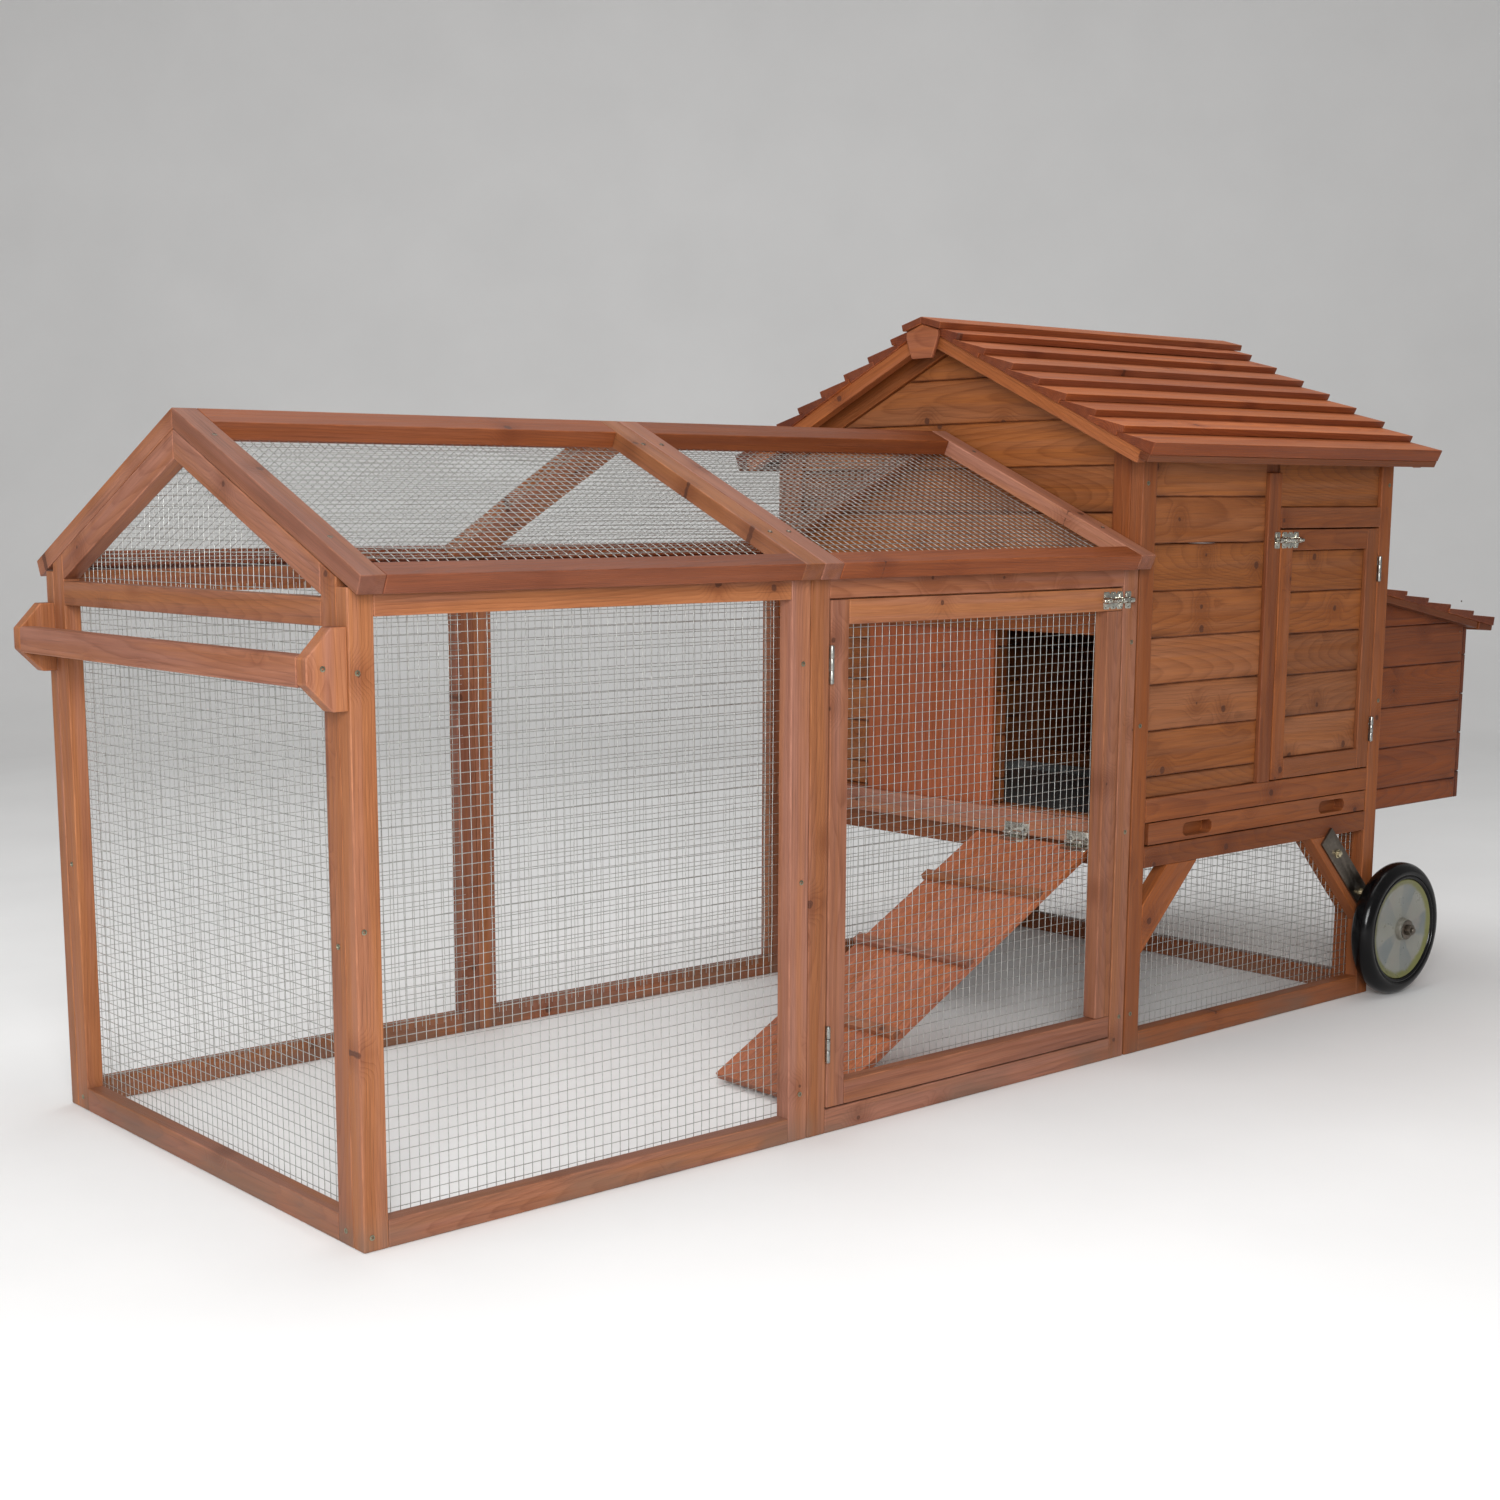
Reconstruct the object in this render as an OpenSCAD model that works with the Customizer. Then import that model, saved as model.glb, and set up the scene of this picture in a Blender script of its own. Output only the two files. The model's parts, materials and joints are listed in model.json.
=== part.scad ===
// Wheeled chicken coop: a mesh run with its own pitched mesh roof, joined to a raised timber house
// with a nest box behind it. All sizes are in millimetres.
// The origin is on the ground, under the middle of the whole length and width.
// +X runs from the lifting handle towards the nest box, +Y is away from the side with the doors.

/* [Timber] */
// Wide face of the frame timber
stick_w = 31; // [28:1:34]
// Thickness of the frame timber
stick_t = 22; // [20:1:24]
// Thickness of the wall planks
plank_t = 11; // [9:1:13]
// Height of one wall plank
plank_pitch = 66.5; // [60:0.5:72]

/* [Run] */
// Width of the whole frame over its side panels
coop_w = 750; // [700:5:800]
// Length of the fixed side panel at the handle end
fixed_panel_l = 647; // [620:1:660]
// Length of the side panel that holds the run door
door_panel_l = 628; // [620:1:660]
// Height of the run's side panels
run_side_h = 709; // [690:1:720]
// Slope of the run roof in degrees
run_pitch = 24.2; // [23:0.1:25]
// Slope length of one run roof frame, along its underside
run_slope_l = 431.6; // [425:0.1:440]
// Height of the underside of the middle rail in the end wall
mid_rail_z = 667; // [655:1:667]

/* [House] */
// Length of the house
house_l = 628; // [620:1:660]
// Height of the house's side walls
house_side_h = 877; // [870:1:878]
// Height of the roof line at the ridge, under the roof boards
house_apex = 1052.5; // [1052:0.5:1058]
// Slope of the house roof in degrees
house_pitch = 24.87; // [24.5:0.01:25]
// Height of the open space under the house
under_h = 272; // [260:1:280]
// How far the roof boards overhang each gable
gable_over = 50; // [45:1:60]
// Width of the house side door
side_door_w = 261.6; // [240:0.1:270]
// Height of the house side door
side_door_h = 378; // [360:1:380]

/* [Roof boards] */
// Number of lapped boards on each slope of the house roof
roof_courses = 8; // [6:1:8]
// Height of the step that a roof board makes over the next one down
roof_step = 10.4; // [8:0.1:11]
// Length of slope that each roof board leaves showing
roof_exposure = 56.4; // [52:0.1:57]

/* [Ramp and pop door] */
// Length of the ramp board
ramp_l = 598; // [580:1:600]
// Width of the ramp board
ramp_w = 217; // [200:1:220]
// Slope of the lowered ramp in degrees
ramp_slope = 28.7; // [28.5:0.1:30]
// Width of the doorway from the run to the house
pop_w = 202; // [180:1:204]
// Height of the doorway's top edge
pop_top = 607; // [590:1:620]

/* [Nest box] */
// How far the nest box stands out from the house
nest_l = 298; // [280:1:310]
// Height of the nest box's underside
nest_z = 294; // [285:1:300]
// Slope of the nest box lid in degrees
lid_slope = 10.45; // [9:0.05:11]
// Length of slope that each lid board leaves showing
lid_exposure = 70.6; // [68:0.1:72]

/* [Wheels] */
// Radius of a wheel
wheel_r = 108; // [100:1:112]
// Width of a tyre
tyre_w = 36; // [30:1:38]
// Height of each wheel's lowest point, so the frame rests on its own feet
wheel_lift = 1; // [0.5:0.5:3]

/* [Handle] */
// How far the handle brackets stand out from the end wall
handle_reach = 48.5; // [46:0.5:60]
// Height of the handle bar's middle
handle_z = 627; // [610:1:632]

/* [Hidden] */
$fn = 48;

fir = "#c4866a";
red_fir = "#b5694d";
plank_tan = "#b47a50";
roof_red = "#9c573c";
galvanised = "#b9bcb8";
zinc = "#9a9c98";

// Clearance left between wooden pieces that only touch
touch = 0.3;
// Gap between a hinged edge and its post, filled by the two hinge leaves
hinge_gap = 2.4;
// Gap around the other edges of a door
door_gap = 2.5;
mesh_t = 1;
mesh_lap = 9;

half_w = coop_w / 2;
inner_y = half_w - stick_t;
post_y = inner_y - stick_w;

// Stations along the length
// Butt edge of the first lid board, along and out from the closed lid's slope
first_butt = [66.6, 3.3];
lid_courses = 5;
lid_reach = 3.4 + (first_butt[0] + (lid_courses - 1) * lid_exposure) * cos(lid_slope)
  + first_butt[1] * sin(lid_slope);
total_l = handle_reach + fixed_panel_l + door_panel_l + 5 + house_l + lid_reach;
run_x = -total_l / 2 + handle_reach;
seam_x = run_x + fixed_panel_l;
run_end_x = seam_x + 1 + door_panel_l;
house_x = run_end_x + 4;
rear_x = house_x + house_l;

// Run roof
run_apex = run_side_h + 0.5 + half_w * tan(run_pitch);

// Levels in the house
tray_z = under_h + stick_w + 1;
tray_top_z = tray_z + 34;
sill_z = tray_top_z + 35;
front_sill_z = 343;
threshold_z = [305, 341];

// House roof
eave_s = 466;

// House side door
jamb_x = rear_x - stick_w - hinge_gap - side_door_w - door_gap - stick_w;
side_door_x = rear_x - stick_w - hinge_gap;
side_door_z = sill_z + 2;
header_z = side_door_z + side_door_h + 2;

// Run door
run_door_x = seam_x + 1 + stick_w + hinge_gap;
run_door_end_x = run_end_x - stick_w - door_gap;
run_door_z = [stick_w + 2, run_side_h - stick_w - 2];

// Ramp
ramp_t = 10;
ramp_axis = [house_x - stick_t - 3.2, 306.5];
ramp_y = -214.5;

// Pop door
pop_y0 = -post_y;
pop_door_w = 262;
pop_door_t = 9;
pop_door_x = house_x - 13;
pop_open_y = pop_y0 + pop_w + 2;

// Nest box
nest_half = half_w - 30;
nest_end_x = rear_x + nest_l;
lid_axis = [rear_x + 3.4, 660.7];
lid_step = 7.15;
lid_bar_h = 11.5;
lid_lap = 6;
lid_tilt = atan(lid_step / lid_exposure);
// Level of the lid boards' undersides, square to the closed lid's slope
lid_base = -11.5;
lid_rail_z = 650;

// Wheels
axle_x = rear_x + 23;
axle_z = wheel_r + wheel_lift;
wheel_y = half_w + 31;
arm_w = 35;
arm_t = 4;
axle_r = 5;

// Hinges
knuckle_r = 3;
pin_r = 1.25;
pin_clearance = 0.05;
leaf_t = 1;
leaf_start = 3.4;
run_hinge_h = 46;
side_hinge_h = 38;
strap_hinge_h = 46;

// ---------- Shared shapes ----------

// A straight piece of timber between two corners
module block(x, y, z)
  translate([x[0], y[0], z[0]]) cube([x[1] - x[0], y[1] - y[0], z[1] - z[0]]);

module near_and_far() {
  children();
  mirror([0, 1, 0]) children();
}

// A flat (y, z) outline made solid between two stations along X
module along_x(x0, x1)
  translate([x0, 0, 0]) rotate([90, 0, 90]) linear_extrude(x1 - x0) children();

// A flat (x, z) outline made solid between two stations along Y
module along_y(y0, y1)
  translate([0, y1, 0]) rotate([90, 0, 0]) linear_extrude(y1 - y0) children();

// The point s down the near slope from the apex and n out from its surface, as (y, z)
function slope_point(apex, a, s, n) = [-s * cos(a) - n * sin(a), apex - s * sin(a) + n * cos(a)];

// Where a slab starts: at s, or on the plumb line under the ridge when s is 0
function slab_start(a, s, n) = s > 0 ? s : -n * tan(a) + touch / 2;

// Outline of a slab lying on the near slope
module slope_slab(apex, a, s, n)
  polygon([
    slope_point(apex, a, slab_start(a, s[0], n[0]), n[0]),
    slope_point(apex, a, s[1], n[0]),
    slope_point(apex, a, s[1], n[1]),
    slope_point(apex, a, slab_start(a, s[0], n[1]), n[1])
  ]);

// Outline of a gable rafter between the plumb line and a post, drop below the roof line
module gable_rafter(apex, a, y_end, top, depth)
  polygon([
    [-touch / 2, apex - top - touch / 2 * tan(a)],
    [-touch / 2, apex - depth / cos(a) - touch / 2 * tan(a)],
    [-y_end, apex - depth / cos(a) - y_end * tan(a)],
    [-y_end, apex - top - y_end * tan(a)]
  ]);

// Outline of a post whose top is cut to the roof slope
module sloped_post(apex, a, y0, y1)
  polygon([
    [-y1, 0],
    [-y0, 0],
    [-y0, apex - 0.5 - y0 * tan(a)],
    [-y1, apex - 0.5 - y1 * tan(a)]
  ]);

// The near half of an end frame: a post up to the roof and a rafter up to the ridge
module gable_frame(apex, a, x) along_x(x[0], x[1]) {
  sloped_post(apex, a, post_y + touch / 2, inner_y);
  gable_rafter(apex, a, post_y - touch / 2, 0.5, stick_w);
}

// A rail of an end frame, between its two posts
module cross_rail(x, z0, z1)
  block(x, [-post_y + touch / 2, post_y - touch / 2], [z0, z1]);

// A rectangular frame of two full stiles with rails between them, in a near side wall
module side_frame(x0, x1, h) {
  block([x0, x0 + stick_w], [-half_w, -inner_y], [0, h]);
  block([x1 - stick_w, x1], [-half_w, -inner_y], [0, h]);
  side_rail(x0 + stick_w, x1 - stick_w, 0, stick_w);
  side_rail(x0 + stick_w, x1 - stick_w, h - stick_w, h);
}

// A rail between two stiles, a hair short so that it stays a separate piece
module side_rail(x0, x1, z0, z1)
  block([x0 + touch / 2, x1 - touch / 2], [-half_w, -inner_y], [z0, z1]);

// A mesh sheet stapled to the inside of a near side wall, over an opening
module side_mesh_sheet(x0, x1, z0, z1)
  block([x0 - mesh_lap, x1 + mesh_lap], [-inner_y, -inner_y + mesh_t],
        [z0 - mesh_lap, z1 + mesh_lap]);

// One leaf of a butt hinge, its pin axis on Z. The leaf runs towards +Y, between the
// offsets off from the axis; own lists the heights its knuckles fill.
module hinge_leaf(h, w, off, own)
  difference() {
    union() {
      block(off, [leaf_start, w], [0, h]);
      for (k = own) {
        block([off[0], off[1]], [1, leaf_start + 0.1], k);
        translate([0, 0, k[0]]) cylinder(r = knuckle_r, h = k[1] - k[0]);
      }
    }
    translate([0, 0, -1]) cylinder(r = pin_r + pin_clearance, h = h + 2);
  }

function outer_knuckles(h) = [[0, h / 3 - 0.2], [2 * h / 3 + 0.2, h]];
function middle_knuckle(h) = [[h / 3 + 0.2, 2 * h / 3 - 0.2]];

// A hinge pin with a small head at each end
module hinge_pin(h) {
  cylinder(r = pin_r, h = h);
  translate([0, 0, -0.8]) cylinder(r = 2.2, h = 0.7);
  translate([0, 0, h + 0.1]) cylinder(r = 2.2, h = 0.7);
  translate([0, 0, -0.2]) cylinder(r = pin_r, h = h + 0.4);
}

// Where the hinges stand: upright ones on the doors, lying ones on the ramp and the lid
module at_run_door_hinges()
  for (z = [94, 574])
    translate([run_door_x - hinge_gap / 2, -half_w - 3.2, z]) children();

module at_side_door_hinges()
  for (z = [side_door_z + 42, side_door_z + 296])
    translate([side_door_x + hinge_gap / 2, -half_w - 3.2, z]) mirror([1, 0, 0]) children();

// These turn the hinge so that its pin lies along Y and its leaves start upright
module at_ramp_hinges()
  for (y = [ramp_y - 84, ramp_y + 34])
    translate([ramp_axis[0], y + strap_hinge_h / 2, ramp_axis[1]]) rotate([90, 0, 0]) children();

module at_lid_hinges()
  for (y = [-210, 210 - strap_hinge_h])
    translate([lid_axis[0], y + strap_hinge_h, lid_axis[1]]) rotate([90, 0, 0]) children();

// Rows of wall planks from z0 up, with joints at joint_z plus whole pitches, as heights
function plank_rows(z0, z1, joint_z) = [
  for (k = [0 : ceil((z1 - joint_z) / plank_pitch)])
    let (lo = k == 0 ? z0 : joint_z + (k - 1) * plank_pitch, hi = joint_z + k * plank_pitch)
      if (lo < z1 - 12) [lo + touch / 2, (hi >= z1 - 12 ? z1 : hi) - touch / 2]
];

// ---------- Run ----------

module near_run_frames() color(fir) {
  side_frame(run_x, seam_x, run_side_h);
  side_frame(seam_x + 1, run_end_x, run_side_h);
}

module far_run_frames() color(fir) mirror([0, 1, 0]) {
  side_frame(run_x, seam_x, run_side_h);
  side_frame(seam_x + 1, run_end_x, run_side_h);
}

module run_mesh_sheet(x0, x1)
  side_mesh_sheet(x0 + stick_w, x1 - stick_w, stick_w, run_side_h - stick_w);

module run_side_mesh() color(galvanised, 0.4) {
  run_mesh_sheet(run_x, seam_x);
  mirror([0, 1, 0]) run_mesh_sheet(run_x, seam_x);
  mirror([0, 1, 0]) run_mesh_sheet(seam_x + 1, run_end_x);
}

module run_end_frame() color(fir) {
  x = [run_x, run_x + stick_t];
  near_and_far() gable_frame(run_apex, run_pitch, x);
  cross_rail(x, 0, stick_w);
  cross_rail(x, mid_rail_z, mid_rail_z + stick_w - 1);
}

module run_end_mesh() color(galvanised, 0.4) {
  x0 = run_x + stick_t;
  block([x0, x0 + mesh_t], [-post_y - mesh_lap, post_y + mesh_lap],
        [stick_w - mesh_lap, mid_rail_z + mesh_lap]);
  gable_z = mid_rail_z + stick_w - mesh_lap;
  mesh_apex = run_apex - (stick_w - mesh_lap) / cos(run_pitch);
  edge_y = post_y + mesh_lap;
  edge_z = mesh_apex - edge_y * tan(run_pitch);
  along_x(x0, x0 + mesh_t) polygon([
    [-edge_y, gable_z], [edge_y, gable_z], [edge_y, edge_z], [0, mesh_apex], [-edge_y, edge_z]
  ]);
}

// One roof frame on the near slope: two full rafters with the ridge and eave rails between
module roof_frame(x0, x1) {
  for (x = [x0, x1 - stick_w])
    along_x(x, x + stick_w) slope_slab(run_apex, run_pitch, [0, run_slope_l], [0, stick_t]);
  along_x(x0 + stick_w + touch / 2, x1 - stick_w - touch / 2) {
    slope_slab(run_apex, run_pitch, [0, stick_w], [0, stick_t]);
    slope_slab(run_apex, run_pitch, [run_slope_l - stick_w, run_slope_l], [0, stick_t]);
  }
}

module run_roof_frames() color(fir) near_and_far() {
  roof_frame(run_x, seam_x - 2);
  roof_frame(seam_x - 1, run_end_x + 3);
}

module roof_mesh_sheet(x0, x1)
  along_x(x0 + stick_w + touch, x1 - stick_w - touch)
    slope_slab(run_apex, run_pitch,
               [stick_w + touch, run_slope_l - stick_w - touch], [0, mesh_t]);

module run_roof_mesh() color(galvanised, 0.4) near_and_far() {
  roof_mesh_sheet(run_x, seam_x - 2);
  roof_mesh_sheet(seam_x - 1, run_end_x + 3);
}

module handle_brackets() color(fir) near_and_far() along_y(-half_w + 2, -inner_y) {
  polygon([
    [run_x, handle_z - 45],
    [run_x, handle_z + 42],
    [run_x - handle_reach + 30, handle_z + 42],
    [run_x - handle_reach, handle_z + 11],
    [run_x - handle_reach, handle_z - 15.5],
    [run_x - handle_reach + 30, handle_z - 45]
  ]);
}

// The bar's top edges are rounded to fit the hand
module handle_bar() color(fir) {
  edge_r = 4;
  bar_h = 33;
  translate([run_x - handle_reach, 0, handle_z - bar_h / 2 - 3])
    along_y(-inner_y + touch, inner_y - touch) {
      square([stick_t, bar_h - edge_r]);
      translate([edge_r, 0]) square([stick_t - 2 * edge_r, bar_h]);
      translate([edge_r, bar_h - edge_r]) circle(edge_r);
      translate([stick_t - edge_r, bar_h - edge_r]) circle(edge_r);
    }
}

// ---------- House frame ----------

module house_side_frame() {
  block([house_x, house_x + stick_w], [-half_w, -inner_y], [0, house_side_h]);
  block([rear_x - stick_w, rear_x], [-half_w, -inner_y], [0, house_side_h]);
  side_rail(house_x + stick_w, rear_x - stick_w, 0, stick_w);
  side_rail(house_x + stick_w, rear_x - stick_w, under_h, tray_z - 1);
  side_rail(house_x + stick_w, rear_x - stick_w, tray_top_z, sill_z);
}

// The jamb post's front stops short of the eaves, where it is notched back to the planks
jamb_top = 837;
jamb_notch = 8;

module house_side_frames() color(red_fir) {
  near_and_far() house_side_frame();
  // The tray opens on the near side only, and a rail fills its slot on the far side
  mirror([0, 1, 0])
    side_rail(house_x + stick_w, rear_x - stick_w, tray_z - 1 + touch, tray_top_z - touch);
  difference() {
    side_rail(jamb_x, jamb_x + stick_w, sill_z + touch, house_side_h);
    block([jamb_x - 1, jamb_x + stick_w + 1], [-half_w - 1, -half_w + jamb_notch],
          [jamb_top, house_side_h + 1]);
  }
  side_rail(jamb_x + stick_w, rear_x - stick_w, header_z, header_z + stick_w);
}

// A diagonal brace in the corner under a rail, for a corner at the left of the opening
module brace(corner_x, leg, band)
  polygon([
    [corner_x, under_h - leg],
    [corner_x + leg, under_h],
    [corner_x + leg - band, under_h],
    [corner_x, under_h - leg + band]
  ]);

module rear_brace(leg)
  translate([rear_x - stick_w, 0]) mirror([1, 0]) brace(0, leg, 71);

// The rear braces carry the wheel arms, so a second batten backs them behind the mesh
module corner_braces() color(red_fir) near_and_far() {
  along_y(-half_w, -inner_y) {
    brace(house_x + stick_w, 126, 71);
    rear_brace(149);
  }
  along_y(-inner_y + mesh_t + touch, -inner_y + mesh_t + 11)
    translate([-stick_w / 2, 0]) rear_brace(149 - stick_w / 2);
}

module house_front_frame() color(red_fir) {
  x = [house_x, house_x + stick_t];
  near_and_far() gable_frame(house_apex, house_pitch, x);
  cross_rail(x, under_h, tray_z - 1);
  cross_rail(x, tray_z - 1 + touch, front_sill_z);
}

module house_rear_frame() color(red_fir) {
  x = [rear_x - stick_t, rear_x];
  near_and_far() gable_frame(house_apex, house_pitch, x);
  cross_rail(x, 0, stick_w);
  cross_rail(x, under_h, tray_z - 1);
  cross_rail(x, tray_z - 1 + touch, front_sill_z);
  cross_rail(x, lid_rail_z, lid_rail_z + stick_w);
}

module side_planks(x0, x1, z0, z1, joint_z)
  for (row = plank_rows(z0, z1, joint_z))
    block([x0 + touch / 2, x1 - touch / 2], [-half_w + 6, -half_w + 6 + plank_t], row);

module side_wall_planks() color(plank_tan) {
  side_planks(house_x + stick_w, jamb_x, sill_z, house_side_h, 403);
  side_planks(jamb_x + stick_w, rear_x - stick_w, header_z + stick_w, house_side_h, 871);
  mirror([0, 1, 0])
    side_planks(house_x + stick_w, rear_x - stick_w, sill_z, house_side_h, 403);
}

// The triangle of wall under the gable rafters
module gable_area(z0)
  intersection() {
    polygon([
      [-post_y, z0], [post_y, z0],
      [post_y, house_apex], [-post_y, house_apex]
    ]);
    rafter_apex = house_apex - stick_w / cos(house_pitch) - touch;
    reach = (rafter_apex - z0) / tan(house_pitch);
    polygon([[-reach, z0], [reach, z0], [0, rafter_apex]]);
  }

module end_planks(x0, z0, y0, y1, rows)
  for (row = rows)
    along_x(x0, x0 + plank_t) intersection() {
      gable_area(z0);
      translate([y0 + touch / 2, row[0]]) square([y1 - y0 - touch, row[1] - row[0]]);
    }

// The doorway reaches from the near post to pop_w along the wall
module front_wall_planks() color(plank_tan) {
  joint_z = front_sill_z + 37;
  pop_wall_top = joint_z + 4 * plank_pitch;
  low = plank_rows(front_sill_z, pop_wall_top, joint_z);
  high = plank_rows(pop_wall_top, house_apex, pop_wall_top + plank_pitch);
  end_planks(house_x + 6, front_sill_z, pop_y0 + pop_w, post_y, low);
  end_planks(house_x + 6, front_sill_z, -post_y, post_y, high);
}

module rear_wall_planks() color(plank_tan)
  end_planks(rear_x - 6 - plank_t, front_sill_z, -post_y, post_y,
             plank_rows(lid_rail_z + stick_w, house_apex, lid_rail_z + stick_w + 45));

module under_house_mesh() color(galvanised, 0.4) {
  near_and_far()
    side_mesh_sheet(house_x + stick_w, rear_x - stick_w, stick_w, under_h);
  block([rear_x - stick_t - mesh_t, rear_x - stick_t], [-post_y - mesh_lap, post_y + mesh_lap],
        [stick_w - mesh_lap, under_h + mesh_lap]);
}

// ---------- Doorway, ramp and tray ----------

// The grooved board below the doorway, which the pop door slides in
module threshold_board() color(fir) difference() {
  block([house_x - stick_t, house_x], [-inner_y + 2, inner_y - 2], threshold_z);
  block([pop_door_x - 1, pop_door_x + pop_door_t + 1], [pop_y0 - 4, pop_open_y + pop_door_w + 6],
        [threshold_z[1] - 7, threshold_z[1] + 1]);
}

module pop_door_guide() color(red_fir) difference() {
  block([house_x - stick_t, house_x], [-inner_y + 2, inner_y - 2], [pop_top, pop_top + 37]);
  block([pop_door_x - 1, pop_door_x + pop_door_t + 1], [pop_y0 - 4, pop_open_y + pop_door_w + 6],
        [pop_top - 1, pop_top + 13]);
}

// A sliding panel with a finger slot near its leading edge
module pop_door() color(red_fir) difference() {
  block([pop_door_x, pop_door_x + pop_door_t], [pop_open_y, pop_open_y + pop_door_w],
        [threshold_z[1] - 6, pop_top + 11]);
  slot_z = 455;
  slot_l = 56;
  slot_r = 4;
  slot_y = pop_open_y + 12;
  for (z = [slot_z, slot_z + slot_l])
    translate([pop_door_x - 1, slot_y, z]) rotate([0, 90, 0]) cylinder(r = slot_r, h = 5);
  block([pop_door_x - 1, pop_door_x + 4], [slot_y - slot_r, slot_y + slot_r],
        [slot_z, slot_z + slot_l]);
}

// The lowered ramp's own frame: X down the slope, Z square to its face, from the hinge axis
module on_ramp()
  translate([ramp_axis[0], 0, ramp_axis[1]]) rotate([0, -ramp_slope, 0]) mirror([1, 0, 0])
    children();

module ramp_board() color(red_fir) on_ramp()
  block([5, 5 + ramp_l], [ramp_y - ramp_w / 2, ramp_y + ramp_w / 2], [-3.2 - ramp_t, -3.2]);

module ramp_cleats() color(fir) on_ramp()
  for (k = [0 : 2])
    block([119 + 162 * k, 135 + 162 * k], [ramp_y - ramp_w / 2 - 2, ramp_y + ramp_w / 2 + 2],
          [-3.2 + 0.02, 6]);

module ramp_hinge_flaps() color(galvanised)
  at_ramp_hinges() rotate([0, 0, 90 + ramp_slope]) mirror([1, 0, 0])
    hinge_leaf(strap_hinge_h, 16, [2.2, 3.18], middle_knuckle(strap_hinge_h));

module tray_runners() color(red_fir) {
  block([house_x + stick_t, house_x + stick_t + 18], [-inner_y + 2, inner_y - 2],
        [tray_z - 18, tray_z - 0.5]);
  block([rear_x - stick_t - 18, rear_x - stick_t], [-inner_y + 2, inner_y - 2],
        [tray_z - 18, tray_z - 0.5]);
}

// A folded sheet tray, open at the top, that stops short of the far wall
module tray_pan() color(zinc) difference() {
  wall = 1.2;
  x = [house_x + stick_w + 5, rear_x - stick_w - 5];
  y = [-half_w + 20.2, inner_y - 6];
  block(x, y, [tray_z + 0.5, tray_z + 16]);
  block([x[0] + wall, x[1] - wall], [y[0] + wall, y[1] - wall], [tray_z + 0.5 + wall, tray_z + 40]);
}

// The wooden front of the tray, with two finger pockets
module tray_front() color(red_fir) difference() {
  x0 = house_x + stick_w + 8;
  x1 = rear_x - stick_w - 4;
  block([x0, x1], [-half_w, -half_w + 20], [tray_z + 1, tray_top_z - 1.5]);
  for (x = [x0 + 115, x1 - 93]) finger_pocket(x, tray_z + 16);
}

module finger_pocket(x, z) {
  pocket_r = 10;
  for (side = [-1, 1])
    translate([x + side * 25, -half_w - 1, z]) rotate([-90, 0, 0])
      cylinder(r = pocket_r, h = 18);
  block([x - 25, x + 25], [-half_w - 1, -half_w + 17], [z - pocket_r, z + pocket_r]);
}

// A perch across the house, above what the doorway lets one see
module roost_bar() color(red_fir)
  block([house_x + 160, house_x + 185], [-half_w + 6 + plank_t + touch, half_w - 6 - plank_t - touch],
        [pop_top + 33, pop_top + 63]);

// ---------- House roof ----------

// Section of a tapered board: [along it from its upper edge, height above what it lies on].
// Its lower edge is rebated over the next board down, unless it is the lowest one.
function tapered_board(exposure, lap, thin, step, lowest) =
  let (len = exposure + lap, rise = step / exposure, back = len - lap - 0.1)
    concat([[0, 0]],
           lowest ? [[len, 0]]
                  : [[back, 0], [back, thin + 0.1], [len, thin + 0.1 + lap * rise]],
           [[len, thin + len * rise], [0, thin]]);

// Thickness of a roof board's upper edge
roof_thin = 6.5;
roof_lap = 9;
// How far the eave battens hang below the roof's under side
eave_drop = 10;
roof_x = [house_x - gable_over, rear_x + gable_over - 7.5];

module roof_boards() color(roof_red) near_and_far()
  for (k = [0 : roof_courses - 1])
    along_x(roof_x[0], roof_x[1])
      polygon([
        for (p = tapered_board(roof_exposure, roof_lap, roof_thin, roof_step, k == 0))
          slope_point(house_apex, house_pitch,
                      eave_s - roof_lap - (k + 1) * roof_exposure + p[0], p[1] + 0.05)
      ]);

// Two boards meeting at the ridge, lying on the tilted top course
module ridge_cap() color(roof_red) near_and_far() {
  rise = roof_step / roof_exposure;
  top_s = eave_s - roof_lap - roof_courses * roof_exposure;
  lift = (roof_thin + 0.05 - rise * top_s) / (1 + rise * tan(house_pitch));
  cap_apex = house_apex + lift / cos(house_pitch) + 0.1;
  along_x(roof_x[0] - 9, roof_x[1] + 15)
    slope_slab(cap_apex, house_pitch - atan(rise), [0, 39], [0.05, 10]);
}

// Barge boards carry the overhanging board ends, clear of the wall
module barge_boards() color(fir) near_and_far()
  for (x = [roof_x[0] + 4, roof_x[1] - 22])
    along_x(x, x + 18) difference() {
      slope_slab(house_apex, house_pitch, [0, eave_s - 18], [-20, -0.1]);
      // Their feet are cut level with the bottom of the eave battens
      translate([-half_w - 100, slope_point(house_apex, house_pitch, eave_s, -eave_drop)[1] - 50])
        square([half_w, 50]);
    }

// The battens' outer faces are flush with the lowest boards' edges
module eave_battens() color(roof_red) near_and_far()
  along_x(roof_x[0], roof_x[1])
    slope_slab(house_apex, house_pitch, [eave_s - 17, eave_s], [-eave_drop, -0.05]);

// Small shaped blocks that close the ends of the ridge under the cap
module finial_blocks() color(fir)
  for (x = [roof_x[0] - 6.5, roof_x[1] + 0.3])
    along_x(x, x + 6.2) polygon([
      [0, house_apex + 5.2], [-32, house_apex - 5], [-33, house_apex - 14], [-21, house_apex - 45],
      [21, house_apex - 45], [33, house_apex - 14], [32, house_apex - 5]
    ]);

module roof_rafters() color(red_fir) near_and_far()
  along_x(jamb_x + 4, jamb_x + 4 + stick_t)
    slope_slab(house_apex, house_pitch, [0, 372], [-stick_w, -0.1]);

// ---------- Nest box ----------

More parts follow.
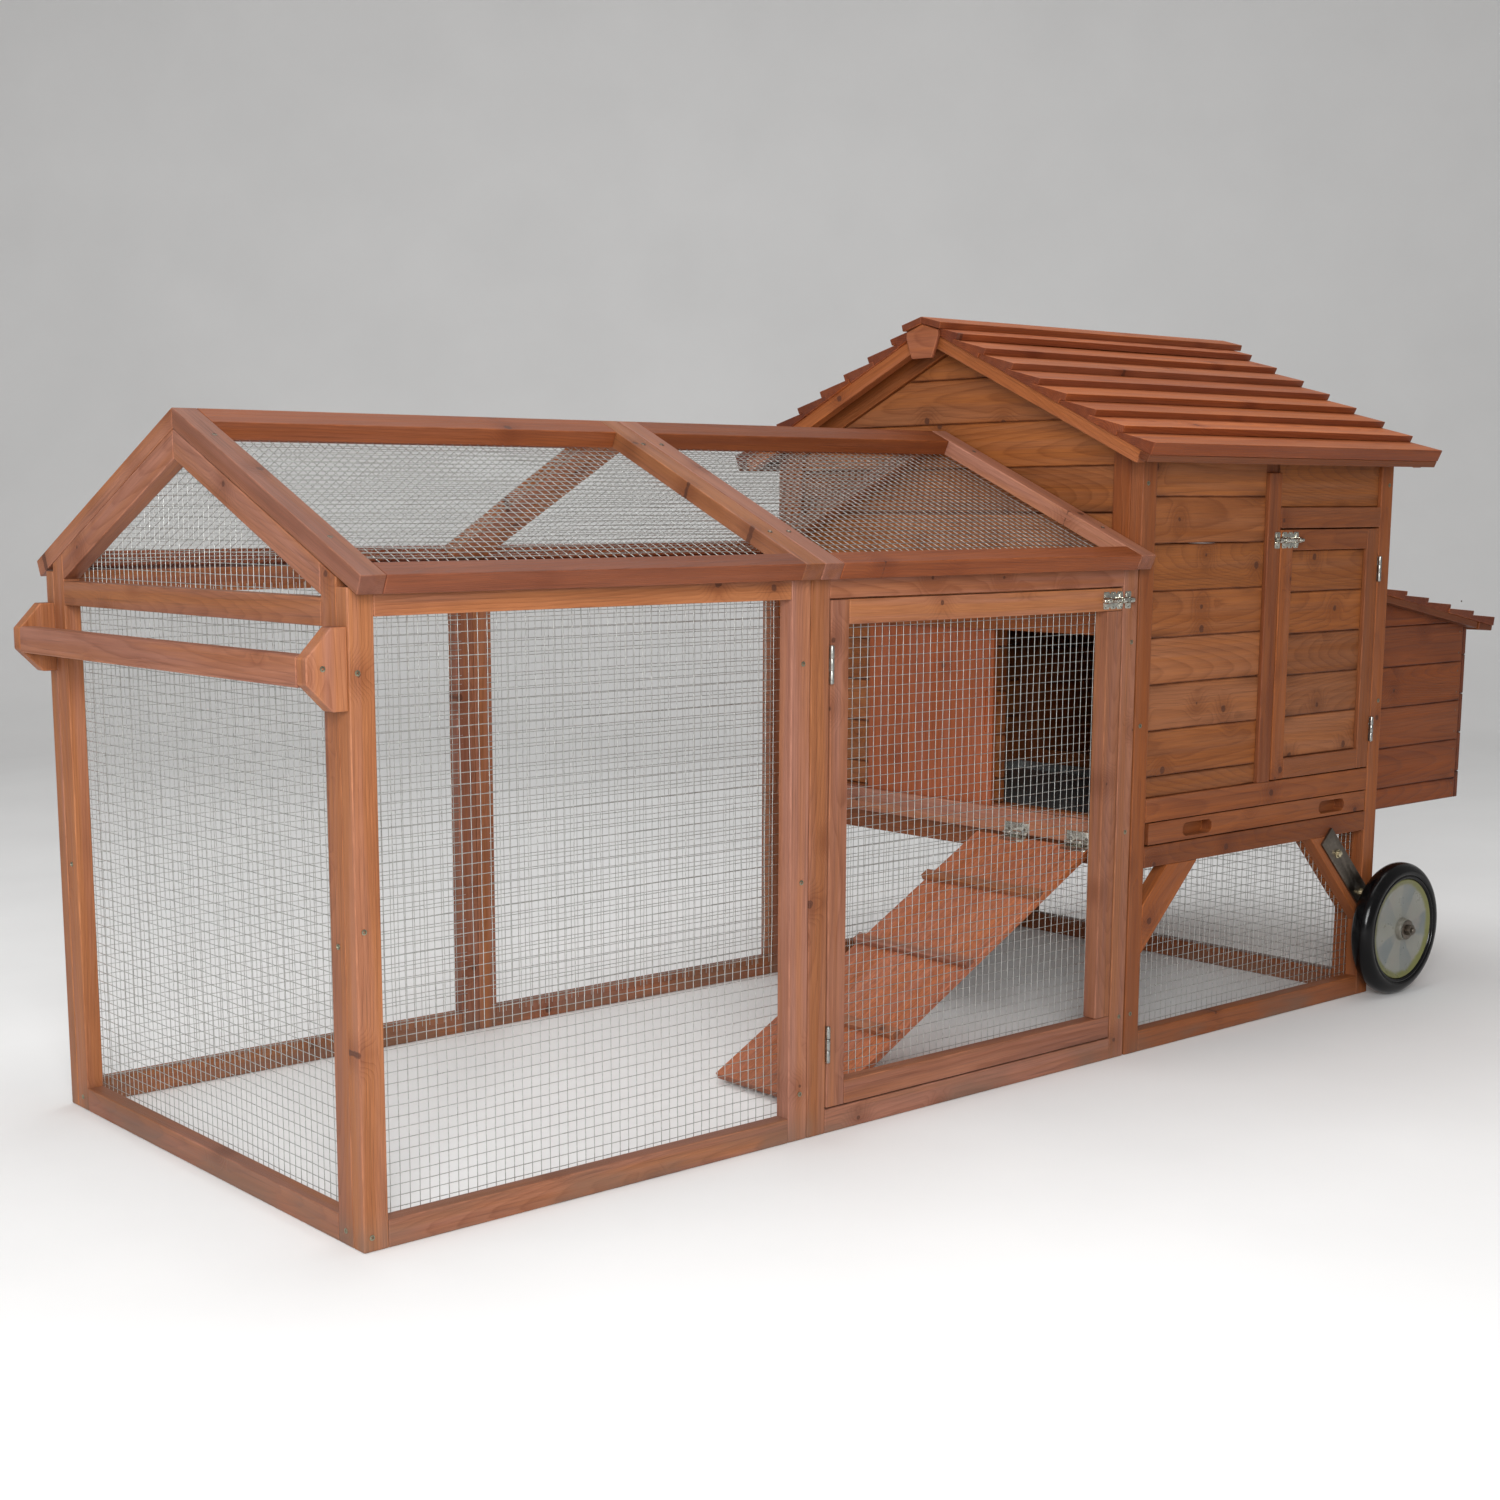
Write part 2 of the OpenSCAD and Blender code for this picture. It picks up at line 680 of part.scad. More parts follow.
// Height of the lid's underside, over the box, at a station x
function lid_under(x) = lid_axis[1] - 12.3 - (x - lid_axis[0]) * tan(lid_slope);

module nest_profile(z0, z1, x0, x1)
  intersection() {
    polygon([
      [x0, nest_z], [x1, nest_z], [x1, lid_under(x1)], [x0, lid_under(x0)]
    ]);
    translate([x0, z0]) square([x1 - x0, z1 - z0]);
  }

module nest_box_planks() color(plank_tan) {
  side_x = [rear_x + touch, nest_end_x - plank_t - touch];
  near_and_far()
    for (row = plank_rows(nest_z, 640, nest_z + 34))
      along_y(-nest_half, -nest_half + plank_t) nest_profile(row[0], row[1], side_x[0], side_x[1]);
  for (row = plank_rows(nest_z, 640, nest_z + 45))
    along_y(-nest_half, nest_half)
      nest_profile(row[0], row[1], nest_end_x - plank_t, nest_end_x);
}

module nest_box_floor() color(fir)
  block([rear_x + touch, nest_end_x - plank_t - touch],
        [-nest_half + plank_t + touch, nest_half - plank_t - touch], [nest_z + 1, nest_z + 11]);

module nest_divider() color(fir)
  block([rear_x + touch, nest_end_x - plank_t - touch], [-5, 5], [nest_z + 11.3, 560]);

// The closed lid's own frame: X down the slope, Z square to its face, from the hinge axis
module on_lid()
  translate([lid_axis[0], 0, lid_axis[1]]) rotate([0, lid_slope, 0]) children();

// Tapered boards like the roof's. The first one has no board above it.
module lid_boards() color(roof_red) on_lid()
  along_y(-nest_half - 22, nest_half + 22) {
    thin = first_butt[1] - lid_base - lid_step * (1 + lid_lap / lid_exposure);
    for (k = [0 : lid_courses - 1])
      intersection() {
        translate([first_butt[0] + (k - 1) * lid_exposure - lid_lap, lid_base])
          polygon(tapered_board(lid_exposure, lid_lap, thin, lid_step, k == lid_courses - 1));
        translate([1, lid_base - 1]) square([lid_reach, 30]);
      }
  }

// Side bars under the lid boards, and a batten under the last board outside the end wall
module lid_bars() color(fir) on_lid() {
  last_butt = first_butt[0] + (lid_courses - 1) * lid_exposure;
  near_and_far()
    block([2, last_butt - 51], [-nest_half - 21, -nest_half - 1],
          [lid_base - 0.1 - lid_bar_h, lid_base - 0.1]);
  along_y(-nest_half - 21, nest_half + 21)
    polygon([
      [last_butt - 44, lid_base - 0.1],
      [last_butt - 2, lid_base - 0.1],
      [last_butt - 2, lid_base - 8.8],
      [last_butt - 44, lid_base - 8.8 - 42 * tan(lid_tilt)]
    ]);
}

module lid_hinge_flaps() color(galvanised)
  at_lid_hinges() rotate([0, 0, -90 - lid_slope + lid_tilt])
    hinge_leaf(strap_hinge_h, 22, [2.2, 3.18], middle_knuckle(strap_hinge_h));

// ---------- Wheels ----------

// The arm's own frame: X down its length, from the axle back up at 45 degrees
module on_arm()
  translate([axle_x, 0, axle_z]) rotate([0, 45, 0]) children();

module wheel_arms() color(zinc) near_and_far() on_arm()
  difference() {
    block([-232, 20], [-half_w - arm_t, -half_w - 0.05], [-arm_w / 2, arm_w / 2]);
    rotate([90, 0, 0]) cylinder(r = axle_r + 0.2, h = 2 * half_w);
    for (s = [-188, -88])
      translate([s, 0, 0]) rotate([90, 0, 0]) cylinder(r = 3.3, h = 2 * half_w);
  }

// An axle bolt with its head inside the arm
module axle_bolts() color(zinc) near_and_far()
  translate([axle_x, -half_w + 0.1, axle_z]) rotate([90, 0, 0]) {
    translate([0, 0, -6]) cylinder(r = 9, h = 6, $fn = 6);
    cylinder(r = axle_r, h = 67);
  }

module nut(r, h, bore)
  difference() {
    cylinder(r = r, h = h, $fn = 6);
    translate([0, 0, -1]) cylinder(r = bore, h = h + 2);
  }

module washer(r, h, bore)
  difference() {
    cylinder(r = r, h = h);
    translate([0, 0, -1]) cylinder(r = bore, h = h + 2);
  }

// The nuts and washers on the axles, and the carriage bolts that hold the arms
module bolts_and_nuts() color(zinc) near_and_far() {
  translate([axle_x, -half_w, axle_z]) rotate([90, 0, 0]) {
    translate([0, 0, arm_t + 0.2]) nut(9, 5, axle_r + 0.02);
    translate([0, 0, 53]) washer(16, 1.5, axle_r + 0.2);
    translate([0, 0, 54.6]) nut(9, 8, axle_r + 0.02);
  }
  on_arm() for (s = [-188, -88])
    translate([s, -half_w - arm_t, 0]) rotate([90, 0, 0]) {
      translate([0, 0, 0.5 - arm_t]) cylinder(r = 3, h = arm_t);
      cylinder(r = 7, h = 1.5);
      translate([0, 0, 1.4]) cylinder(r = 5.5, h = 4, $fn = 6);
    }
}

// A solid rubber tyre with a D-shaped section
module tyre()
  rotate_extrude($fn = 96) intersection() {
    translate([wheel_r - tyre_w / 2, 0]) circle(tyre_w / 2);
    translate([wheel_r - 25, -tyre_w / 2]) square([25, tyre_w]);
  }

// A moulded hub: a rim that holds the tyre, a thin web with ribs, and a long boss
module wheel_hub() {
  rim_r = wheel_r - 25.2;
  difference() {
    union() {
      difference() {
        translate([0, 0, -15]) cylinder(r = rim_r, h = 30, $fn = 96);
        translate([0, 0, 4]) cylinder(r = rim_r - 5, h = 12, $fn = 96);
        translate([0, 0, -16]) cylinder(r = rim_r - 5, h = 12, $fn = 96);
      }
      translate([0, 0, -20]) cylinder(r = 16, h = 41);
      for (k = [0 : 5]) rotate(60 * k) block([12, rim_r - 3], [-2, 2], [-11, 11]);
    }
    translate([0, 0, -21]) cylinder(r = axle_r + 0.1, h = 43);
  }
}

module at_near_wheel()
  translate([axle_x, -wheel_y, axle_z]) rotate([90, 0, 0]) children();

module near_tyre() color("#161616") at_near_wheel() tyre();
module near_wheel_hub() color("#d8d9cf") at_near_wheel() wheel_hub();
module far_tyre() color("#161616") mirror([0, 1, 0]) at_near_wheel() tyre();
module far_wheel_hub() color("#d8d9cf") mirror([0, 1, 0]) at_near_wheel() wheel_hub();

// ---------- Run door and house door ----------

module run_door_frame() color(fir) {
  z = run_door_z;
  block([run_door_x, run_door_x + stick_w], [-half_w, -inner_y], z);
  side_rail(run_door_x + stick_w, run_door_end_x, z[0], z[0] + stick_w);
  side_rail(run_door_x + stick_w, run_door_end_x, z[1] - stick_w, z[1]);
  block([run_door_end_x - stick_w, run_door_end_x], [-half_w, -inner_y],
        [z[0] + stick_w + touch, z[1] - stick_w - touch]);
}

module run_door_mesh() color(galvanised, 0.4)
  side_mesh_sheet(run_door_x + stick_w, run_door_end_x - stick_w,
                  run_door_z[0] + stick_w, run_door_z[1] - stick_w);

module house_door_frame() color(plank_tan) {
  x0 = side_door_x - side_door_w;
  top = side_door_z + side_door_h;
  block([x0, x0 + stick_w], [-half_w, -inner_y], [side_door_z, top]);
  block([side_door_x - stick_w, side_door_x], [-half_w, -inner_y], [side_door_z, top]);
  side_rail(x0 + stick_w, side_door_x - stick_w, side_door_z, side_door_z + stick_w);
  side_rail(x0 + stick_w, side_door_x - stick_w, top - stick_w, top);
}

module house_door_planks() color(plank_tan) {
  rows = 5;
  z0 = side_door_z + stick_w;
  pitch = (side_door_h - 2 * stick_w) / rows;
  for (k = [0 : rows - 1])
    block([side_door_x - side_door_w + stick_w + touch, side_door_x - stick_w - touch],
          [-half_w + 6, -half_w + 6 + plank_t],
          [z0 + k * pitch + touch / 2, z0 + (k + 1) * pitch - touch / 2]);
}

// ---------- Hinges ----------

module hinge_leaves() color(galvanised) {
  at_run_door_hinges()
    hinge_leaf(run_hinge_h, 21, [-1.2, -0.2], outer_knuckles(run_hinge_h));
  at_side_door_hinges()
    hinge_leaf(side_hinge_h, 21, [-1.2, -0.2], outer_knuckles(side_hinge_h));
  at_ramp_hinges() hinge_leaf(strap_hinge_h, 16, [2.2, 3.18], outer_knuckles(strap_hinge_h));
  at_lid_hinges() mirror([1, 0, 0])
    hinge_leaf(strap_hinge_h, 17, [2.2, 3.38], outer_knuckles(strap_hinge_h));
}

module hinge_pins() color(galvanised) {
  at_run_door_hinges() hinge_pin(run_hinge_h);
  at_side_door_hinges() hinge_pin(side_hinge_h);
  at_ramp_hinges() hinge_pin(strap_hinge_h);
  at_lid_hinges() hinge_pin(strap_hinge_h);
}

module run_door_hinge_flaps() color(galvanised)
  at_run_door_hinges() hinge_leaf(run_hinge_h, 21, [0.2, 1.2], middle_knuckle(run_hinge_h));

module house_door_hinge_flaps() color(galvanised)
  at_side_door_hinges() hinge_leaf(side_hinge_h, 21, [0.2, 1.2], middle_knuckle(side_hinge_h));

// ---------- Barrel bolts ----------

bolt_r = 3;
bolt_axis_y = -half_w - 6;
bolt_travel = 20;
run_bolt_z = (run_door_z[1] - stick_w / 2) - 1;
side_bolt_z = side_door_z + side_door_h - stick_w / 2;

// A pressed loop that the bolt slides through, standing on its plate
module bolt_loop(x0, x1, z, gap)
  difference() {
    block([x0, x1], [bolt_axis_y - 4.5, -half_w - 1.2], [z - 5, z + 5]);
    translate([x0 - 1, bolt_axis_y, z]) rotate([0, 90, 0])
      cylinder(r = bolt_r + gap, h = x1 - x0 + 2);
  }

// The latch on a door, for a bolt that moves towards +X out of the edge at edge_x
module latch_case(edge_x, z) {
  block([edge_x - 42, edge_x - 1], [-half_w - 1.2, -half_w - 0.02], [z - 12, z + 12]);
  bolt_loop(edge_x - 42, edge_x - 35, z, 0.1);
  bolt_loop(edge_x - 8, edge_x - 1, z, 0.1);
}

// The keeper's loop is looser, so that the bolt finds it
module keeper(edge_x, z) {
  block([edge_x, edge_x + 13], [-half_w - 1.2, -half_w - 0.02], [z - 12, z + 12]);
  bolt_loop(edge_x + 2, edge_x + 11, z, 0.7);
}

module sliding_bolt(edge_x, z) {
  translate([edge_x - 48, bolt_axis_y, z]) rotate([0, 90, 0]) cylinder(r = bolt_r, h = 48);
  translate([edge_x - 30.5, bolt_axis_y, z]) rotate([90, 0, 0]) cylinder(r = 2.2, h = 11);
}

// The house door's latch is the same, turned to point towards -X
module facing_left(edge_x)
  translate([2 * edge_x, 0, 0]) mirror([1, 0, 0]) children();

run_keeper_x = run_end_x - stick_w + 2;
side_door_edge_x = side_door_x - side_door_w;

module run_door_latch() color(galvanised) latch_case(run_door_end_x, run_bolt_z);
module run_door_bolt() color(galvanised) sliding_bolt(run_door_end_x, run_bolt_z);
module house_door_latch() color(galvanised)
  facing_left(side_door_edge_x) latch_case(side_door_edge_x, side_bolt_z);
module house_door_bolt() color(galvanised)
  facing_left(side_door_edge_x) sliding_bolt(side_door_edge_x, side_bolt_z);
module bolt_keepers() color(galvanised) {
  keeper(run_keeper_x, run_bolt_z);
  facing_left(side_door_edge_x) keeper(side_door_edge_x + door_gap + 2, side_bolt_z);
}

// ---------- Screws ----------

screw_r = 3.2;
screw_h = 0.9;

module near_screw(x, z)
  translate([x, -half_w - 0.02, z]) rotate([90, 0, 0]) cylinder(r = screw_r, h = screw_h);

module end_screw(y, z)
  translate([run_x - 0.02, y, z]) rotate([0, -90, 0]) cylinder(r = screw_r, h = screw_h);

// A screw on the top face of a run roof frame, s down the slope at station x
module roof_screw(x, s)
  translate([x, slope_point(run_apex, run_pitch, s, stick_t + 0.02)[0],
             slope_point(run_apex, run_pitch, s, stick_t + 0.02)[1]])
    rotate([run_pitch, 0, 0]) cylinder(r = screw_r, h = screw_h);

module frame_screws() color(zinc) {
  near_and_far() {
    for (z = [16, handle_z - 6, 350])
      near_screw(run_x + 10, z);
    for (z = [60, 330, 600])
      for (x = [seam_x - 12, run_end_x - 11]) near_screw(x, z);
    for (z = [60, 480, 820])
      for (x = [house_x + 11, rear_x - 11]) near_screw(x, z);
    end_screw(-inner_y + 15, 16);
    end_screw(-inner_y + 15, 330);
    for (x = [run_x + 15, seam_x - 17, seam_x + 14, run_end_x - 12])
      for (s = [70, 340]) roof_screw(x, s);
    translate([run_x - 29.5, -half_w + 1.98, handle_z]) rotate([90, 0, 0])
      cylinder(r = screw_r, h = screw_h);
  }
}

near_run_frames();
far_run_frames();
run_side_mesh();
run_end_frame();
run_end_mesh();
run_roof_frames();
run_roof_mesh();
handle_brackets();
handle_bar();
house_side_frames();
corner_braces();
house_front_frame();
house_rear_frame();
side_wall_planks();
front_wall_planks();
rear_wall_planks();
under_house_mesh();
threshold_board();
pop_door_guide();
tray_runners();
roost_bar();
roof_boards();
ridge_cap();
barge_boards();
eave_battens();
finial_blocks();
roof_rafters();
nest_box_planks();
nest_box_floor();
nest_divider();
wheel_arms();
axle_bolts();
bolts_and_nuts();
hinge_leaves();
hinge_pins();
frame_screws();
bolt_keepers();
run_door_frame();
run_door_mesh();
run_door_hinge_flaps();
run_door_latch();
run_door_bolt();
house_door_frame();
house_door_planks();
house_door_hinge_flaps();
house_door_latch();
house_door_bolt();
tray_pan();
tray_front();
ramp_board();
ramp_cleats();
ramp_hinge_flaps();
pop_door();
lid_boards();
lid_bars();
lid_hinge_flaps();
near_tyre();
near_wheel_hub();
far_tyre();
far_wheel_hub();
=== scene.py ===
import json
import math
import random

import bmesh
import bpy
import numpy as np
from mathutils import Matrix, Vector, noise


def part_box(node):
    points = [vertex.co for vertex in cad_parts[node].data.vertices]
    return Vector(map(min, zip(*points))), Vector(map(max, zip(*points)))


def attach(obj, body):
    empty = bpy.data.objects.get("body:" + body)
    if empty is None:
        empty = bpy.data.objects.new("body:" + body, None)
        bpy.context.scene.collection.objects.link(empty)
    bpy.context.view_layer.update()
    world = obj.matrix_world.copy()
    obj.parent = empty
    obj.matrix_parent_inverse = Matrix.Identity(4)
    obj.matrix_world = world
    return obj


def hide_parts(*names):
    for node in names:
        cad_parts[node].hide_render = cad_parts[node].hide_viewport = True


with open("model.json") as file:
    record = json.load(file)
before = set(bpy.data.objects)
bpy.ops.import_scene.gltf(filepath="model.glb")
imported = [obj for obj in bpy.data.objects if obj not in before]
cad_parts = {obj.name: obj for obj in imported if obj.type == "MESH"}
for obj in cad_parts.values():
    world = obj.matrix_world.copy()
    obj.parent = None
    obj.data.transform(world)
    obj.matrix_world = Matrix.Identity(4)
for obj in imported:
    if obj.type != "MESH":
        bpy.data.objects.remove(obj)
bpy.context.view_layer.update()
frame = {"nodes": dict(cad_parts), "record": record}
bodies = frame["record"]["behaviour"]["bodies"]
body_of_node = {node: body for body, nodes in bodies.items() for node in nodes}
slot_of_node = {part["node"]: part["material_slot"] for part in frame["record"]["subparts"]}

X, Y, Z = Vector((1, 0, 0)), Vector((0, 1, 0)), Vector((0, 0, 1))
MM = 0.001
noise.seed_set(7)


# ---------- Materials ----------

class Graph:
    """A material made of nodes, built from Python expressions."""

    def __init__(self, name):
        self.material = bpy.data.materials.new(name)
        self.material.use_nodes = True
        self.tree = self.material.node_tree
        self.tree.nodes.clear()

    def feed(self, socket, value):
        """Links or sets an input. One number fills a vector, and a colour gets its alpha."""
        if isinstance(value, bpy.types.NodeSocket):
            self.tree.links.new(value, socket)
        elif hasattr(socket.default_value, "__len__") and not hasattr(value, "__len__"):
            socket.default_value = [value] * len(socket.default_value)
        elif hasattr(value, "__len__") and len(value) == 3 and len(socket.default_value) == 4:
            socket.default_value = (*value, 1)
        else:
            socket.default_value = value

    def add(self, kind, inputs=None, **settings):
        node = self.tree.nodes.new(kind)
        for key, value in settings.items():
            setattr(node, key, value)
        for key, value in (inputs or {}).items():
            self.feed(node.inputs[key], value)
        return node

    def calc(self, operation, a, b=0.0, clamp=False):
        node = self.add("ShaderNodeMath", {0: a, 1: b}, operation=operation)
        node.use_clamp = clamp
        return node.outputs[0]

    def times(self, a, b):
        return self.calc("MULTIPLY", a, b)

    def plus(self, total, *terms):
        for term in terms:
            total = self.calc("ADD", total, term)
        return total

    def minus(self, a, b):
        return self.calc("SUBTRACT", a, b)

    def vector(self, operation, a, b=(0.0, 0.0, 0.0)):
        node = self.add("ShaderNodeVectorMath", {0: a, 1: b}, operation=operation)
        return node.outputs["Value" if operation == "LENGTH" else "Vector"]

    def stretch(self, place, along, across):
        """Scales a place along the grain and across it, so that a noise follows the grain."""
        return self.vector("MULTIPLY", place, (along, across, across))

    def mix(self, share, a, b, blend="MIX"):
        node = self.add("ShaderNodeMix", data_type="RGBA", blend_type=blend)
        self.feed(node.inputs[0], share)
        self.feed(node.inputs[6], a)
        self.feed(node.inputs[7], b)
        return node.outputs[2]

    def tint(self, colour, by):
        return self.mix(1.0, colour, by, "MULTIPLY")

    def span(self, value, low, high, to_low=0.0, to_high=1.0, smooth=False):
        node = self.add("ShaderNodeMapRange", {0: value, 1: low, 2: high, 3: to_low, 4: to_high})
        if smooth:
            node.interpolation_type = "SMOOTHSTEP"
        return node.outputs[0]

    def ramp(self, value, stops):
        """Grey levels between stops, which are (position, level) pairs."""
        node = self.add("ShaderNodeValToRGB", {0: value})
        elements = node.color_ramp.elements
        for position, level in stops[2:]:
            elements.new(position)
        for element, (position, level) in zip(elements, stops):
            element.position = position
            element.color = (level, level, level, 1)
        return node.outputs[0]

    def noise(self, place, scale=1.0, detail=2.0, rough=0.5):
        inputs = {"Vector": place, "Scale": scale, "Detail": detail, "Roughness": rough}
        return self.add("ShaderNodeTexNoise", inputs).outputs[0]

    def attribute(self, name, output="Vector"):
        return self.add("ShaderNodeAttribute", attribute_name=name).outputs[output]

    def parts(self, vector):
        return self.add("ShaderNodeSeparateXYZ", {0: vector}).outputs[:]

    def join(self, x, y, z):
        return self.add("ShaderNodeCombineXYZ", {0: x, 1: y, 2: z}).outputs[0]

    def grey(self, level):
        return self.join(level, level, level)

    def place(self):
        return self.add("ShaderNodeTexCoord").outputs["Object"]

    def finish(self, height, depth, **inputs):
        """The surface itself. Height gives the relief, in units of depth."""
        shader = self.add("ShaderNodeBsdfPrincipled")
        for key, value in inputs.items():
            self.feed(shader.inputs[key.replace("_", " ")], value)
        bump = self.add("ShaderNodeBump", {"Height": height, "Distance": depth, "Strength": 1.0})
        self.feed(shader.inputs["Normal"], bump.outputs[0])
        out = self.add("ShaderNodeOutputMaterial")
        self.tree.links.new(shader.outputs[0], out.inputs[0])
        return self.material


def knot_field(g, spot, knots):
    """The distance to the nearest knot, its core, and the zone where the grain flows round it.

    Knots lie in cells along the board, and the given share of the cells holds one."""
    cell = (0.15, 0.06)
    field = g.vector("DIVIDE", spot, (*cell, 1.0))
    cells = g.add("ShaderNodeTexVoronoi", {"Vector": field, "Scale": 1.0},
                  voronoi_dimensions="2D")
    away = g.vector("SUBTRACT", field, cells.outputs["Position"])
    distance = g.vector("LENGTH", g.vector("MULTIPLY", away, (*cell, 0.0)))
    chance, size, _ = g.parts(cells.outputs["Color"])
    present = g.calc("LESS_THAN", chance, knots)
    radius = g.span(size, 0.0, 1.0, 0.0014, 0.0058)
    wobble = g.span(g.noise(spot, 190.0), 0.0, 1.0, -0.0018, 0.0018)
    beyond = g.minus(g.plus(distance, wobble), radius)
    core = g.span(beyond, -0.0006, 0.0007, 1.0, 0.0, smooth=True)
    flow = g.span(distance, 0.004, 0.042, 1.0, 0.0, smooth=True)
    return distance, g.times(core, present), g.times(g.calc("POWER", flow, 2.0), present)


def growth_rings(g, grain, spot, tones, flow, ring, tilt):
    """The late wood of rings around a pith line outside the board.

    The line is tilted, so that faces show arches, and the rings bend around knots."""
    u, v, w = g.parts(grain)
    t1, t2, t3 = tones
    aside = g.plus(v, g.span(t1, 0.0, 1.0, -0.03, 0.03))
    lean = g.times(u, g.span(t2, 0.0, 1.0, -tilt, tilt))
    below = g.plus(w, g.span(t3, 0.0, 1.0, 0.018, 0.07), lean)
    radius = g.calc("SQRT", g.plus(g.times(aside, aside), g.times(below, below)))
    warp = g.noise(g.stretch(spot, 2.6, 11.0))
    ripple = g.noise(g.stretch(spot, 14.0, 160.0))
    radius = g.plus(radius, g.times(warp, 0.015), g.times(flow, 0.011), g.times(ripple, 0.0012))
    count = g.calc("DIVIDE", radius, g.span(t2, 0.0, 1.0, ring * 0.75, ring * 1.35))
    return g.ramp(g.calc("FRACT", count),
                  [(0.0, 0.0), (0.35, 0.08), (0.72, 0.45), (0.9, 1.0), (1.0, 0.02)])


def stain(g, spot, tones, pale, deep, rings, flow, blotch):
    """Pale to deep by ring, streak and blotch. Boards and streaks lean to yellow or to pink."""
    t1, _, t3 = tones
    streak = g.noise(g.stretch(spot, 3.5, 95.0), detail=3.0, rough=0.6)
    share = g.plus(rings, g.span(streak, 0.3, 0.7, -0.22, 0.3),
                   g.span(blotch, 0.3, 0.7, -0.10, 0.16), g.span(t3, 0.0, 1.0, -0.18, 0.36),
                   g.times(flow, 0.45))
    colour = g.mix(g.calc("ADD", share, 0.18, clamp=True), pale, deep)
    band = g.noise(g.stretch(spot, 2.2, 62.0))
    pink = g.calc("ADD", g.span(t1, 0.0, 1.0, -0.1, 0.75),
                  g.span(band, 0.35, 0.65, -0.25, 0.55), clamp=True)
    return g.tint(colour, g.mix(pink, (1.06, 0.95, 0.66), (0.99, 1.03, 1.26)))


def lightness(g, spot, fibre, tone, speckle):
    """How light the fibres are, with thin dark lines of resin and dirt along the grain."""
    light = g.plus(g.span(fibre, 0.25, 0.75, 0.84, 1.14), g.span(tone, 0.0, 1.0, -0.12, 0.12))
    line = g.noise(g.stretch(spot, 5.0, 420.0), detail=1.0)
    light = g.minus(light, g.span(line, 0.60, 0.74, 0.0, 0.22, smooth=True))
    if speckle:
        fleck = g.noise(g.stretch(spot, 90.0, 420.0), detail=3.0, rough=0.7)
        light = g.plus(light, g.span(fleck, 0.35, 0.65, -speckle, speckle))
    return light


def damp_corners(g, spot):
    """Damp stains in the corners of a board, where it meets its neighbours."""
    reach_u, reach_v, _ = g.parts(g.vector("ABSOLUTE", g.attribute("reach")))
    corner = g.times(g.span(reach_u, 0.4, 1.0), g.span(reach_v, 0.5, 1.0))
    cloud = g.noise(g.stretch(spot, 9.0, 34.0), detail=3.0)
    return g.times(corner, g.span(cloud, 0.46, 0.6))


def rubbed_and_shaded_edges(g, spot, colour, dirt_and_shade):
    """Frame edges are rubbed paler, as wear and as a painted highlight. Plank edges are darkened
    instead, with dirt and painted shade in the grooves.
    """
    edge_patches = g.span(g.noise(spot, 34.0, detail=3.0), 0.42, 0.62)
    if dirt_and_shade:
        colour = g.mix(damp_corners(g, spot), colour, g.tint(colour, (0.48, 0.44, 0.38)))
        # Dirt and painted shade darken the grooves between planks
        wear_and_light_share, wear_and_light_tint = g.span(edge_patches, 0.0, 1.0, 0.9, 0.45), (0.52, 0.43, 0.38)
    else:
        # Rubbed wear, which also stands in for a painted highlight along the edges
        wear_and_light_share, wear_and_light_tint = g.times(edge_patches, 0.42), (1.5, 1.55, 1.6)
    return g.mix(g.times(g.attribute("edge", "Fac"), wear_and_light_share), colour, g.tint(colour, wear_and_light_tint))


def wood(name, pale, deep, knot, knots=0.3, ring=0.0026, contrast=0.34, tilt=0.05, speckle=0.0,
         dirt_and_shade_grooves=False, side_shade=0.0):
    """Stained softwood. Each board carries its own grain axes and three random tones."""
    g = Graph(name)
    grain = g.attribute("grain")
    tone = g.attribute("tone")
    tones = g.parts(tone)
    spot = g.vector("ADD", grain, g.vector("MULTIPLY", tone, (31.0, 17.0, 23.0)))
    distance, core, flow = knot_field(g, spot, knots)
    late = growth_rings(g, grain, spot, tones, flow, ring, tilt)
    fibre = g.noise(g.stretch(spot, 28.0, 1100.0))
    blotch = g.noise(g.stretch(spot, 7.0, 22.0))

    colour = stain(g, spot, tones, pale, deep, g.times(late, contrast), flow, blotch)
    colour = g.tint(colour, g.grey(lightness(g, spot, fibre, tones[1], speckle)))
    # Ends drink more stain
    end = g.attribute("end", "Fac")
    soaked = g.mix(late, g.tint(colour, (0.62, 0.5, 0.44)), g.tint(colour, (0.38, 0.28, 0.24)))
    colour = g.mix(g.times(end, 0.6), colour, soaked)
    colour = rubbed_and_shaded_edges(g, spot, colour, dirt_and_shade_grooves)
    # Painted shade: the side and end faces of the boards are darkened, as if turned away from the
    # light
    if side_shade:
        side = g.calc("MAXIMUM", g.attribute("side", "Fac"), end)
        colour = g.mix(g.times(side, side_shade), colour, g.tint(colour, (0.5, 0.42, 0.4)))
    # Knots have their own fine rings
    knot_light = g.span(g.calc("SINE", g.times(distance, 2600.0)), -1.0, 1.0, 0.75, 1.1)
    colour = g.mix(g.times(core, 0.82), colour, g.tint(knot, g.grey(knot_light)))
    # Darker within 5 cm of the floor, in blotches
    height = g.parts(g.add("ShaderNodeNewGeometry").outputs["Position"])[2]
    darker_at_foot = g.times(g.span(height, 0.0, 0.05, 0.5, 0.0, smooth=True), g.span(blotch, 0.4, 0.6))
    colour = g.mix(darker_at_foot, colour, (0.16, 0.11, 0.08))

    relief = g.minus(g.plus(g.times(fibre, 0.55), g.times(late, 0.35)), g.times(core, 0.5))
    roughness = g.plus(g.span(fibre, 0.3, 0.7, 0.5, 0.64), g.times(late, -0.08))
    return g.finish(relief, 0.00045, Base_Color=colour, Roughness=roughness,
                    Specular_IOR_Level=0.32)


